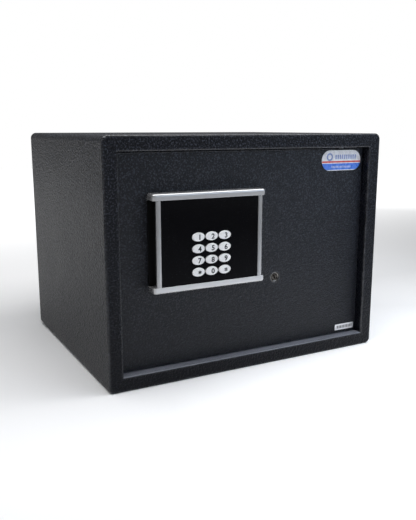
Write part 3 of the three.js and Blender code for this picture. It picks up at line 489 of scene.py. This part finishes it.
def rounded_rectangle(low, high, r, steps):
    """Points round a rectangle with rounded corners, each corner in some steps."""
    (x0, z0), (x1, z1) = low, high
    r = max(r, 2 * POINT)
    left, right, low_z, high_z = x0 + r, x1 - r, z0 + r, z1 - r
    corners = [((right, low_z), -90), ((right, high_z), 0), ((left, high_z), 90), ((left, low_z), 180)]
    return [p for centre, start in corners for p in arc(centre, r, start, start + 90, steps)]


def turned(name, profile, centre, axis="y", sides=64, looped=False):
    """A turned solid from pairs of place along the axis and radius. A looped one is a ring."""
    place = {
        "x": lambda along, u, v: (along, u, v),
        "y": lambda along, u, v: (u, along, v),
        "z": lambda along, u, v: (u, v, along),
    }[axis]
    rings = []
    for along, r in profile:
        flat = arc((0, 0), max(r, POINT), 0, 360 * (1 - 1 / sides), sides - 1)
        rings.append([Vector(place(along, u, v)) + Vector(centre) for u, v in flat])
    return loft(name, rings, looped)


def rounded_step(start, end, r, steps=4):
    """A profile's outward corner, from the face at start to the wall at radius end, as along, radius."""
    return [
        (start + r * (1 - math.cos(turn)), end - r + r * math.sin(turn))
        for turn in quarter_turn(steps)
    ]


def blocks(name, matrices):
    """Blocks in one mesh, each a unit cube that its matrix stretches and places."""
    work = bmesh.new()
    for matrix in matrices:
        bmesh.ops.create_cube(work, size=1, matrix=matrix)
    made = bpy.data.meshes.new(name)
    work.to_mesh(made)
    work.free()
    return made


def spin(degrees):
    """A turn in the plane of the door."""
    return Matrix.Rotation(math.radians(degrees), 4, "Y")


def even_normals(thing):
    """Keeps the flat faces flat in shading, and bends only the small faces of an edge."""
    even = thing.modifiers.new("even", "WEIGHTED_NORMAL")
    even.keep_sharp = True
    even.weight = 90


def piece(name, body, data, finish, replaced=()):
    """A piece that rides on a body, and may stand for CAD nodes."""
    made = add_object(name, data)
    even_normals(made)
    data.materials.clear()
    data.materials.append(finish)
    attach(made, body)
    if replaced:
        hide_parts(*replaced)
    return made


def carve(made, *cutters):
    """Cuts the shapes of some meshes out of a piece."""
    for cutter in cutters:
        tool = add_object("cutter", cutter)
        made.modifiers.clear()
        cut = made.modifiers.new("cut", "BOOLEAN")
        cut.operation = "DIFFERENCE"
        cut.solver = "EXACT"
        cut.object = tool
        whole = bpy.data.meshes.new_from_object(made.evaluated_get(bpy.context.evaluated_depsgraph_get()))
        made.modifiers.remove(cut)
        bpy.data.objects.remove(tool)
        materials = list(made.data.materials)
        made.data = whole
        made.data.materials.clear()
        for kept in materials:
            made.data.materials.append(kept)
    finish_mesh(made.data)
    even_normals(made)


def smooth_group():
    """Geometry nodes that shade a CAD piece smoothly up to an angle."""
    group = bpy.data.node_groups.new("smooth_by_angle", "GeometryNodeTree")
    group.interface.new_socket("Geometry", in_out="INPUT", socket_type="NodeSocketGeometry")
    group.interface.new_socket("Geometry", in_out="OUTPUT", socket_type="NodeSocketGeometry")

    def add(kind, **sockets):
        made = group.nodes.new(kind)
        for key, value in sockets.items():
            made.inputs[key.replace("_", " ")].default_value = value
        return made

    start = add("NodeGroupInput")
    clean = add("GeometryNodeRemoveAttribute", Name="custom_normal")
    faces = add("GeometryNodeSetShadeSmooth", Shade_Smooth=True)
    edges = add("GeometryNodeSetShadeSmooth")
    edges.domain = "EDGE"
    angle = add("GeometryNodeInputMeshEdgeAngle")
    gentle = add("FunctionNodeCompare")
    gentle.operation = "LESS_THAN"
    gentle.inputs[1].default_value = SMOOTH_ANGLE
    end = add("NodeGroupOutput")
    chain = [start, clean, faces, edges, end]
    for a, b in zip(chain, chain[1:]):
        group.links.new(a.outputs[0], b.inputs[0])
    group.links.new(angle.outputs[0], gentle.inputs[0])
    group.links.new(gentle.outputs[0], edges.inputs["Shade Smooth"])
    return group


SMOOTH = smooth_group()


def dress(names, finish, edge=0.4 * MM, segments=2):
    """Gives CAD pieces a finish, with their sharp edges rounded."""
    for name in names:
        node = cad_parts[name]
        node.data.materials.clear()
        node.data.materials.append(finish)
        node.modifiers.new("weld", "WELD").merge_threshold = 0.01 * MM
        bevel = node.modifiers.new("edge", "BEVEL")
        bevel.width = edge
        bevel.segments = segments
        bevel.angle_limit = SMOOTH_ANGLE
        bevel.harden_normals = False
        node.modifiers.new("smooth", "NODES").node_group = SMOOTH
        even_normals(node)


# ---- Finishes in use ----
case_paint = powder_coat("case_powder_coat", (0.001, 0.0014, 0.0036), 0.04, 2.6 * MM, 1.1 * MM, 0.17)
door_paint = powder_coat("door_powder_coat", (0.0006, 0.0014, 0.0045), 0.035, 2.3 * MM, 0.9 * MM, 0.32)
black_moulding = moulded_plastic("black_moulding", (0.008, 0.008, 0.009))
unit_moulding = moulded_plastic("unit_moulding", (0.0015, 0.0015, 0.0018), 0.55, 0.1)
bar_metal = satin_metal("bar_satin_silver", (0.56, 0.56, 0.57), 0.2, "x")
strip_metal = satin_metal("strip_satin_silver", (0.46, 0.46, 0.47), 0.2, "z")
fascia_gloss = gloss_plastic("fascia_gloss_black", (0.0035, 0.0035, 0.0042))
key_cap = key_plastic()
key_print = moulded_plastic("key_print", (0.01, 0.01, 0.012), 0.4)
zinc = zinc_plate()
bolt_steel = turned_steel("bolt_steel", "x")
# Painted shade: the cylinder and the plug get dark steel colours, the plug darkest, for the shade in the
# recessed keyhole.
lock_steel = turned_steel("lock_steel", "y", (0.2, 0.19, 0.18))
plug_steel = turned_steel("plug_steel", "y", (0.05, 0.045, 0.04))
silicone = moulded_plastic("key_mat_silicone", (0.16, 0.165, 0.17), 0.6)
board_finish = circuit_board()
reset_plastic = moulded_plastic("reset_plastic", (0.42, 0.02, 0.018), 0.32)
sleeve_film = cell_sleeve()


# ---- Cabinet ----
def cabinet_case():
    """The folded case: rounded long edges, a front face round the doorway, and the inside of its sheet."""
    low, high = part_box("cabinet_shell")
    front, rear = low.y, high.y
    sheet, corner, edge = 2 * MM, 8 * MM, 0.5 * MM
    roll, lip = 2.4 * MM, 1.9 * MM
    frame_face, doorway_corner = 18 * MM, 0.4 * MM

    def ring(y, inset, r):
        flat = rounded_rectangle((low.x + inset, low.z + inset), (high.x - inset, high.z - inset), r, 12)
        return [(x, y, z) for x, z in flat]

    rings = [ring(front + sheet, frame_face, doorway_corner)]
    for turn in quarter_turn(4):
        inset = frame_face - lip * (1 - math.cos(turn))
        rings.append(ring(front + lip * (1 - math.sin(turn)), inset, doorway_corner))
    for turn in quarter_turn(8):
        inset = roll * (1 - math.sin(turn))
        rings.append(ring(front + roll * (1 - math.cos(turn)), inset, corner - inset))
    rings.append(ring(rear - edge, 0, corner))
    rings.append(ring(rear - edge * 0.3, edge * 0.3, corner - edge * 0.3))
    rings.append(ring(rear, edge, corner - edge))
    rings.append(ring(rear, sheet - edge, corner - sheet + edge))
    rings.append(ring(rear - edge, sheet, corner - sheet))
    rings.append(ring(front + sheet, sheet, corner - sheet))
    data = loft("cabinet_case", rings, looped=True)
    case = piece("cabinet_case", "cabinet", data, case_paint, ["cabinet_shell"])

    hole_r, hole_aside = 5 * MM, 100 * MM
    for side in (-1, 1):
        profile = [(low.z - sheet, hole_r), (low.z + 2 * sheet, hole_r)]
        carve(case, turned("anchor_hole", profile, (side * hole_aside, 0, 0), "z", 40))


def mat_hollows(x, y, low, high):
    """How far the mat's top lies below its box at a point: from its soft rim, and from its slight wave."""
    rim_r, wave_height = 0.9 * MM, 0.25
    rim = min(x - low.x, high.x - x, y - low.y, high.y - y)
    drop = rim_r * (1 - math.sqrt(max(0, 1 - (1 - min(1, rim / rim_r)) ** 2)))
    wave = 0.5 + 0.5 * math.sin(x * 47 + 1.3) * math.sin(y * 61 + 0.4)
    return drop, wave * wave_height * MM


def floor_mat():
    """Felt laid on the cabinet's floor, with soft edges and a slight wave."""
    low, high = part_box("floor_mat")
    last_i, last_j = 74, 52
    work = bmesh.new()
    grids = []
    for top in (True, False):
        grid = []
        for i in range(last_i + 1):
            row = []
            for j in range(last_j + 1):
                x = low.x + (high.x - low.x) * (i / last_i)
                y = low.y + (high.y - low.y) * (j / last_j)
                drop, wave = mat_hollows(x, y, low, high)
                z = high.z - drop - wave if top else low.z + drop * 0.4
                row.append(work.verts.new((x, y, z)))
            grid.append(row)
        grids.append(grid)
        for i in range(last_i):
            for j in range(last_j):
                corners = [grid[i][j], grid[i + 1][j], grid[i + 1][j + 1], grid[i][j + 1]]
                work.faces.new(corners if top else corners[::-1])
    upper, lower = grids
    for i in range(last_i):
        work.faces.new([upper[i + 1][0], upper[i][0], lower[i][0], lower[i + 1][0]])
        work.faces.new([upper[i][last_j], upper[i + 1][last_j], lower[i + 1][last_j], lower[i][last_j]])
    for j in range(last_j):
        work.faces.new([upper[0][j], upper[0][j + 1], lower[0][j + 1], lower[0][j]])
        work.faces.new([upper[last_i][j + 1], upper[last_i][j], lower[last_i][j], lower[last_i][j + 1]])
    data = bpy.data.meshes.new("felt_mat")
    work.to_mesh(data)
    work.free()
    finish_mesh(data, math.radians(60))
    mat = piece("felt_mat", "cabinet", data, felt(), ["floor_mat"])


# ---- Keypad unit ----
def trim_bar(which, up):
    """A satin bar with its front corners turned back, a round outer edge and a fine inner one."""
    low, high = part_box("trim_" + which)
    outer, inner = (high.z, low.z) if up else (low.z, high.z)
    corner, roll, fine = 4.3 * MM, 3 * MM, 0.45 * MM
    toward = -1 if up else 1

    def ring(z, inset):
        r = corner - inset * 0.9
        x0, x1, y0 = low.x + inset, high.x - inset, low.y + inset
        left = arc((x0 + r, y0 + r), r, 180, 270, 12)
        right = arc((x1 - r, y0 + r), r, 270, 360, 12)
        return [(x, y, z) for x, y in [(x0, high.y), *left, *right, (x1, high.y)]]

    rings = []
    for turn in quarter_turn(8):
        rings.append(ring(outer + toward * roll * (1 - math.sin(turn)), roll * (1 - math.cos(turn))))
    rings.reverse()
    for turn in quarter_turn(3):
        rings.append(ring(inner - toward * fine * (1 - math.sin(turn)), fine * (1 - math.cos(turn))))
    data = loft("bar_" + which, rings)
    piece("bar_" + which, "door", data, bar_metal, ["trim_" + which])


def trim_strip(which):
    """An upright strip whose front edges are rounded and whose face is slightly crowned."""
    low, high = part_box("trim_" + which)
    r, crown, steps = 0.9 * MM, 0.35 * MM, 8
    inner_width = high.x - low.x - 2 * r
    face = [
        (low.x + r + inner_width * i / steps, low.y + crown * (2 * i / steps - 1) ** 2)
        for i in range(1, steps)
    ]
    left = arc((low.x + r, low.y + crown + r), r, 180, 270, 6)
    right = arc((high.x - r, low.y + crown + r), r, 270, 360, 6)
    plan = [(low.x, high.y), *left, *face, *right, (high.x, high.y)]
    data = loft("strip_" + which, [[(x, y, z) for x, y in plan] for z in (low.z, high.z)])
    piece("strip_" + which, "door", data, strip_metal, ["trim_" + which])


def upright_mesh(name, curve):
    """The mesh of a flat curve, stood up in X and Z."""
    holder = add_object(name, curve)
    made = bpy.data.meshes.new_from_object(holder.evaluated_get(bpy.context.evaluated_depsgraph_get()))
    bpy.data.objects.remove(holder)
    made.transform(Matrix.Rotation(math.radians(90), 4, "X"))
    return made


def flat_curve_mesh(name, outlines, thick, edge):
    """A plate in X and Z from closed outlines, the first one round the others, with its edges rounded."""
    curve = bpy.data.curves.new(name, "CURVE")
    curve.dimensions = "2D"
    curve.fill_mode = "BOTH"
    curve.extrude = thick / 2 - edge
    curve.bevel_depth = edge
    curve.bevel_resolution = 2
    curve.offset = -edge
    for outline in outlines:
        spline = curve.splines.new("POLY")
        spline.points.add(len(outline) - 1)
        for point, (x, z) in zip(spline.points, outline):
            point.co = (x, z, 0, 1)
        spline.use_cyclic_u = True
    made = upright_mesh(name, curve)
    work = bmesh.new()
    work.from_mesh(made)
    bmesh.ops.remove_doubles(work, verts=work.verts, dist=0.0001 * MM)
    work.to_mesh(made)
    work.free()
    finish_mesh(made, math.radians(20))
    return made


def oval(centre, size):
    """Points round an ellipse of a width and height."""
    count = 56
    turns = [2 * math.pi * i / count for i in range(count)]
    return [(centre[0] + size[0] / 2 * math.cos(t), centre[1] + size[1] / 2 * math.sin(t)) for t in turns]


KEYS = ["1", "2", "3", "4", "5", "6", "7", "8", "9", "star", "0", "hash"]
KEY_SIZE = (16.5 * MM, 10.4 * MM)
KEY_GAP = 0.25 * MM


def key_middle(name):
    """Across and up of a key's middle."""
    low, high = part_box("key_" + name)
    return (low.x + high.x) / 2, (low.z + high.z) / 2


def fascia_plate():
    """The gloss fascia with an oval hole for each key."""
    low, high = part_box("fascia")
    size = (KEY_SIZE[0] + 2 * KEY_GAP, KEY_SIZE[1] + 2 * KEY_GAP)
    corner, edge = 0.6 * MM, 0.22 * MM
    outline = rounded_rectangle((low.x, low.z), (high.x, high.z), corner, 4)
    holes = [oval(key_middle(name), size) for name in KEYS]
    data = flat_curve_mesh("fascia_plate", [outline, *holes], high.y - low.y, edge)
    data.transform(Matrix.Translation((0, (low.y + high.y) / 2, 0)))
    piece("fascia_plate", "door", data, fascia_gloss, ["fascia"])


def key_cap_mesh(name):
    """An oval key with a round rim and a shallow dish, and the middle of that dish."""
    low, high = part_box("key_" + name)
    middle = key_middle(name)
    half = KEY_SIZE[1] / 2
    dish, rim, back_edge = 0.22 * MM, 0.75 * MM, 1.1 * MM
    flat_share = 0.62
    slope_steps = 5

    def ring(y, inset):
        return [(x, y, z) for x, z in oval(middle, (KEY_SIZE[0] - 2 * inset, KEY_SIZE[1] - 2 * inset))]

    rings = [ring(low.y + dish, half * (1 - share)) for share in (0.02, 0.3, flat_share)]
    for i in range(1, slope_steps + 1):
        t = i / slope_steps
        rise = dish * (0.5 + 0.5 * math.cos(math.pi * t))
        rings.append(ring(low.y + rise, half * (1 - flat_share) * (1 - t) + rim * t))
    for turn in quarter_turn(6)[1:]:
        rings.append(ring(low.y + rim * (1 - math.cos(turn)), rim * (1 - math.sin(turn))))
    rings.append(ring(high.y - back_edge, 0))
    rings.append(ring(high.y, 0))
    return loft("keycap_" + name, rings), Vector((middle[0], low.y + dish, middle[1]))


def glyph_mesh(name, text, height):
    """A digit as a thin solid in X and Z, centred on the origin."""
    curve = bpy.data.curves.new(name, "FONT")
    curve.body = text
    curve.size = height * 1.42
    curve.extrude = 0.02 * MM
    curve.offset = height * 0.024
    curve.bevel_depth = 0.16 * MM
    curve.bevel_resolution = 0
    made = upright_mesh(name, curve)
    made.transform(Matrix.Diagonal((1, 0.25, 1, 1)))
    xs = [v.co.x for v in made.vertices]
    zs = [v.co.z for v in made.vertices]
    made.transform(Matrix.Translation((-(min(xs) + max(xs)) / 2, 0, -(min(zs) + max(zs)) / 2)))
    return made


def bars_mesh(name, bars):
    """Thin bars in X and Z: centre, length, width and turn in degrees."""
    thick = 0.1 * MM
    return blocks(name, [
        Matrix.Translation((x, 0, z)) @ spin(turn) @ Matrix.Diagonal((length, thick, width, 1))
        for x, z, length, width, turn in bars
    ])


def make_keys():
    """The twelve keys, each with its digit or mark a little to the right of its middle."""
    digit_height = 6 * MM
    aside = Vector((1.6 * MM, 0, -0.35 * MM))
    half_gap, line_width = 0.9 * MM, 0.95 * MM
    star = [(0, 0, 4.4 * MM, 1.2 * MM, turn) for turn in (30, 90, 150)]
    lattice = [(0, side * half_gap, 4.2 * MM, line_width, 0) for side in (-1, 1)]
    lattice += [(side * half_gap, 0, 4.4 * MM, line_width, 84) for side in (-1, 1)]
    for name in KEYS:
        data, face = key_cap_mesh(name)
        body = "button_" + name
        piece("keycap_" + name, body, data, key_cap, ["key_" + name])
        if name == "star":
            mark = bars_mesh("mark_star", star)
        elif name == "hash":
            mark = bars_mesh("mark_hash", lattice)
        else:
            mark = glyph_mesh("digit_" + name, name, digit_height)
        mark.transform(Matrix.Translation(face + aside))
        finish_mesh(mark)
        piece("mark_" + name, body, mark, key_print)


# ---- Key override ----
def lock_face():
    """The cylinder: a ring with a rounded outer edge, whose bore opens in a rounded chamfer."""
    low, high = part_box("lock_cylinder")
    centre = ((low.x + high.x) / 2, 0, (low.z + high.z) / 2)
    r, bore, rim = 6.6 * MM, 4.5 * MM, 0.7 * MM
    chamfer = ((1.3, 0), (0.6, 0.35), (0.5, 0.5), (0.1, 1), (0, 1.3))
    profile = [(high.y, bore)]
    profile += [(low.y + depth * MM, bore + out * MM) for depth, out in chamfer]
    profile += rounded_step(low.y, r, rim)
    profile.append((high.y, r))
    data = turned("override_cylinder", profile, centre, sides=72, looped=True)
    piece("override_cylinder", "door", data, lock_steel, ["lock_cylinder"])


def lock_plug():
    """The plug with its keyway, and the square shank behind it."""
    low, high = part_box("lock_plug")
    centre = Vector(((low.x + high.x) / 2, 0, (low.z + high.z) / 2))
    r, shank_width, shank_length = 4.2 * MM, 4.4 * MM, 4.2 * MM
    back = high.y - shank_length
    profile = [(low.y, 0), (low.y, r - 0.5 * MM), *rounded_step(low.y, r, 0.4 * MM), (back, r), (back, 0)]
    data = turned("override_plug", profile, centre)
    plug = piece("override_plug", "key_plug", data, plug_steel, ["lock_plug"])

    face = Matrix.Translation(centre + Vector((0, low.y, 0))) @ spin(-28)
    reach = 18 * MM
    keyway, upper_ward, lower_ward = (0, 0, 1.3, 6.4), (0.75, 1.1, 0.9, 1.5), (-0.75, -1.3, 0.9, 1.2)
    slots = []
    for x, z, width, height in (keyway, upper_ward, lower_ward):
        size = Matrix.Diagonal((width * MM, reach, height * MM, 1))
        slots.append(blocks("keyway", [face @ Matrix.Translation((x * MM, 0, z * MM)) @ size]))
    carve(plug, *slots)

    shank = bmesh.new()
    size = Matrix.Diagonal((shank_width, high.y - back, shank_width, 1))
    place = Matrix.Translation((centre.x, (high.y + back) / 2, centre.z))
    bmesh.ops.create_cube(shank, size=1, matrix=place @ size)
    bmesh.ops.bevel(shank, geom=shank.edges[:], offset=0.3 * MM, segments=2, affect="EDGES")
    data = bpy.data.meshes.new("override_shank")
    shank.to_mesh(data)
    shank.free()
    finish_mesh(data)
    piece("override_shank", "key_plug", data, lock_steel)


# ---- Bolts, screws, batteries and the reset button ----
def locking_bolts():
    """Two round bolts with a rounded tip and a groove near the carriage."""
    tip_r, end_edge = 1.4 * MM, 0.5 * MM
    groove_depth, groove_width, groove_slope = 0.6 * MM, 2 * MM, 0.4 * MM
    for which in ("upper", "lower"):
        low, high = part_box("bolt_" + which)
        r = (high.y - low.y) / 2
        centre = (0, (low.y + high.y) / 2, (low.z + high.z) / 2)
        tip = [(low.x, 0), *rounded_step(low.x, r, tip_r, 8)]
        groove = high.x - 6 * MM
        waist = [
            (groove, r),
            (groove + groove_slope, r - groove_depth),
            (groove + groove_width - groove_slope, r - groove_depth),
            (groove + groove_width, r),
        ]
        end = [(high.x - end_edge, r), (high.x, r - end_edge), (high.x, 0)]
        data = turned("bolt_bar_" + which, tip + waist + end, centre, "x", 72)
        piece("bolt_bar_" + which, "bolts", data, bolt_steel, ["bolt_" + which])


def cross_recess(centre, seat, first_turn):
    """The two arms of a screw's cross recess, narrower at their foot."""
    arm = Matrix.Diagonal((4.2 * MM, 3.2 * MM, 0.95 * MM, 1))
    put = Matrix.Translation(centre + Vector((0, seat + 2.4 * MM, 0)))
    foot_share = 0.55
    arms = []
    for turn in (first_turn, first_turn + 90):
        slot = blocks("recess", [put @ spin(turn) @ arm])
        for v in slot.vertices:
            flat = v.co - centre
            if flat.y < seat + 1 * MM:
                v.co = centre + Vector((flat.x * foot_share, flat.y, flat.z * foot_share))
        arms.append(slot)
    return arms


def cover_screws():
    """Four screws with a domed head, a cross recess and a thread, each left at its own turn."""
    core_r, thread_r, pitch = 1.6 * MM, 2 * MM, 0.7 * MM
    head_r, head_height, turn_between = 4 * MM, 2 * MM, 17
    for i in range(1, 5):
        low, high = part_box(f"cover_screw_{i}")
        centre = Vector(((low.x + high.x) / 2, 0, (low.z + high.z) / 2))
        seat = high.y - head_height
        dome = []
        for degrees in (12, 24, 36, 48, 60, 72, 82):
            turn = math.radians(degrees)
            dome.append((seat + head_height * math.sin(turn) * 0.98, head_r * math.cos(turn) ** 0.7))
        thread = []
        along = low.y + 0.6 * MM
        while along < seat - 1.2 * MM:
            thread += [(along, core_r), (along + pitch / 2, thread_r), (along + pitch, core_r)]
            along += pitch
        profile = [(low.y, 0), (low.y, 1.3 * MM), *thread, (seat, 1.9 * MM), (seat, 3.9 * MM), *dome]
        profile.append((seat + head_height, 0))
        data = turned(f"pan_screw_{i}", profile, centre, "y", 40)
        screw = piece(f"pan_screw_{i}", "door", data, zinc, [f"cover_screw_{i}"])
        carve(screw, *cross_recess(centre, seat, i * turn_between))


def battery_cells():
    """Four cells in their sleeve, head up and head down by turns, each with a bare cap."""
    cap_steel = turned_steel("cell_cap_steel", "z")
    sleeve_foot = ((0.4, 1.2), (0, 1), (0.1, 0.2), (0.5, 0))
    sleeve_head = ((1.6, 0), (1.05, 0.5), (1, 1), (1.25, 1.3))
    cap_steps = ((1.28, 0), (1.28, 3.4), (1.0, 2.9), (0.3, 2.7), (0, 2.4), (0, 0))
    for i in range(1, 5):
        low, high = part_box(f"battery_{i}")
        head_up = i % 2 == 1
        centre = Vector(((low.x + high.x) / 2, (low.y + high.y) / 2, 0))
        r = (high.y - low.y) / 2
        foot, head = (low.z, high.z) if head_up else (high.z, low.z)
        up = MM if head_up else -MM
        sleeve = [(foot + up * 0.5, 0)]
        sleeve += [(foot + up * rise, r - inset * MM) for rise, inset in sleeve_foot]
        sleeve += [(head - up * drop, r - inset * MM) for drop, inset in sleeve_head]
        sleeve.append((head - up * 1.3, 0))
        data = turned(f"cell_{i}", sleeve, centre, "z", 48)
        piece(f"cell_{i}", "door", data, sleeve_film, [f"battery_{i}"])
        cap = [(head - up * drop, radius * MM) for drop, radius in cap_steps]
        data = turned(f"cell_cap_{i}", cap, centre, "z", 40)
        piece(f"cell_cap_{i}", "door", data, cap_steel)


def reset_button():
    """A round button with a rounded edge and a shallow dish, on a thinner stem."""
    low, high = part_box("reset_button")
    centre = ((low.x + high.x) / 2, 0, (low.z + high.z) / 2)
    r, stem_r, stem_edge = 5 * MM, 2.5 * MM, 0.2 * MM
    collar = high.y - 8.3 * MM
    rounding = ((0.8, 0), (0.35, 0.12), (0.1, 0.4), (0, 0.9))
    profile = [(low.y, 0), (low.y, stem_r - stem_edge), (low.y + stem_edge, stem_r)]
    profile += [(collar, stem_r), (collar, r)]
    profile += [(high.y - drop * MM, r - inset * MM) for drop, inset in rounding]
    profile += [(high.y - 0.25 * MM, 1.5 * MM), (high.y - 0.3 * MM, 0)]
    data = turned("reset_cap", profile, centre, "y", 48)
    piece("reset_cap", "reset", data, reset_plastic, ["reset_button"])


# ---- Floor ----
def make_floor():
    """A white floor that glows behind, far away and close in front, so it is as white as the backdrop."""
    ground = Shader("floor_white")
    cloud = ground.noise(0.4, 3)
    tone = ground.mix(cloud, (0.86, 0.86, 0.87), (0.88, 0.88, 0.885))
    across, along, _ = ground.axes()
    away = (across * across + along * along).math("SQRT").above(2.1, 1.0)
    patch_x, patch_y, patch_r = 0.2, -0.36, 0.22
    beside = across - patch_x
    before = along - patch_y
    close = 1 - (beside * beside + before * before).math("SQRT").above(patch_r, 0.3)
    behind = along.above(0.75, 1.2)
    glow = ground.mix((behind + away + close * 0.35).clamped(), (0, 0, 0), (1, 1, 1))
    finish = ground.surface(tone, 0.7, specular=0.1, glow=glow)
    half = 4.0
    points = [(-half, -half, 0), (half, -half, 0), (half, half, 0), (-half, half, 0)]
    data = mesh_of("floor", points, [(0, 1, 2, 3)])
    data.materials.append(finish)
    floor = add_object("floor", data)


# ---- Making it all ----
make_camera()
make_lights()
make_surroundings()
make_floor()

cabinet_case()
floor_mat()
dress(["rear_panel", "door_stop_upper", "door_stop_lower"], case_paint)
dress(["door_frame_liner", "door_pan"], case_paint, 0.5 * MM)
dress(["door_plate"], door_paint, 0.6 * MM, 3)
dress(["inner_cover", "battery_box", "battery_cover", "display_module"], black_moulding, 0.35 * MM)
dress(["keypad_housing"], unit_moulding, 0.3 * MM)
dress(["hinge_pin_upper", "hinge_pin_lower", "hinge_block_upper", "hinge_block_lower"], zinc, 0.25 * MM)
dress(["guide_stud_upper", "guide_stud_lower", "bolt_carriage"], zinc, 0.25 * MM)
dress(["gear_motor", "motor_bracket", "lock_cam", "lock_nut"], zinc, 0.25 * MM)
dress(["motor_pinion"], bolt_steel, 0.08 * MM)
dress(["key_mat"], silicone, 0.5 * MM)
dress(["control_board", "keypad_board"], board_finish, 0.1 * MM)
dress(["label_sticker"], printed_film(), 0.08 * MM)
dress(["rating_plate"], printed_foil(), 0.12 * MM)

trim_bar("top", True)
trim_bar("bottom", False)
trim_strip("left")
trim_strip("right")
fascia_plate()
make_keys()
lock_face()
lock_plug()
locking_bolts()
cover_screws()
battery_cells()
reset_button()
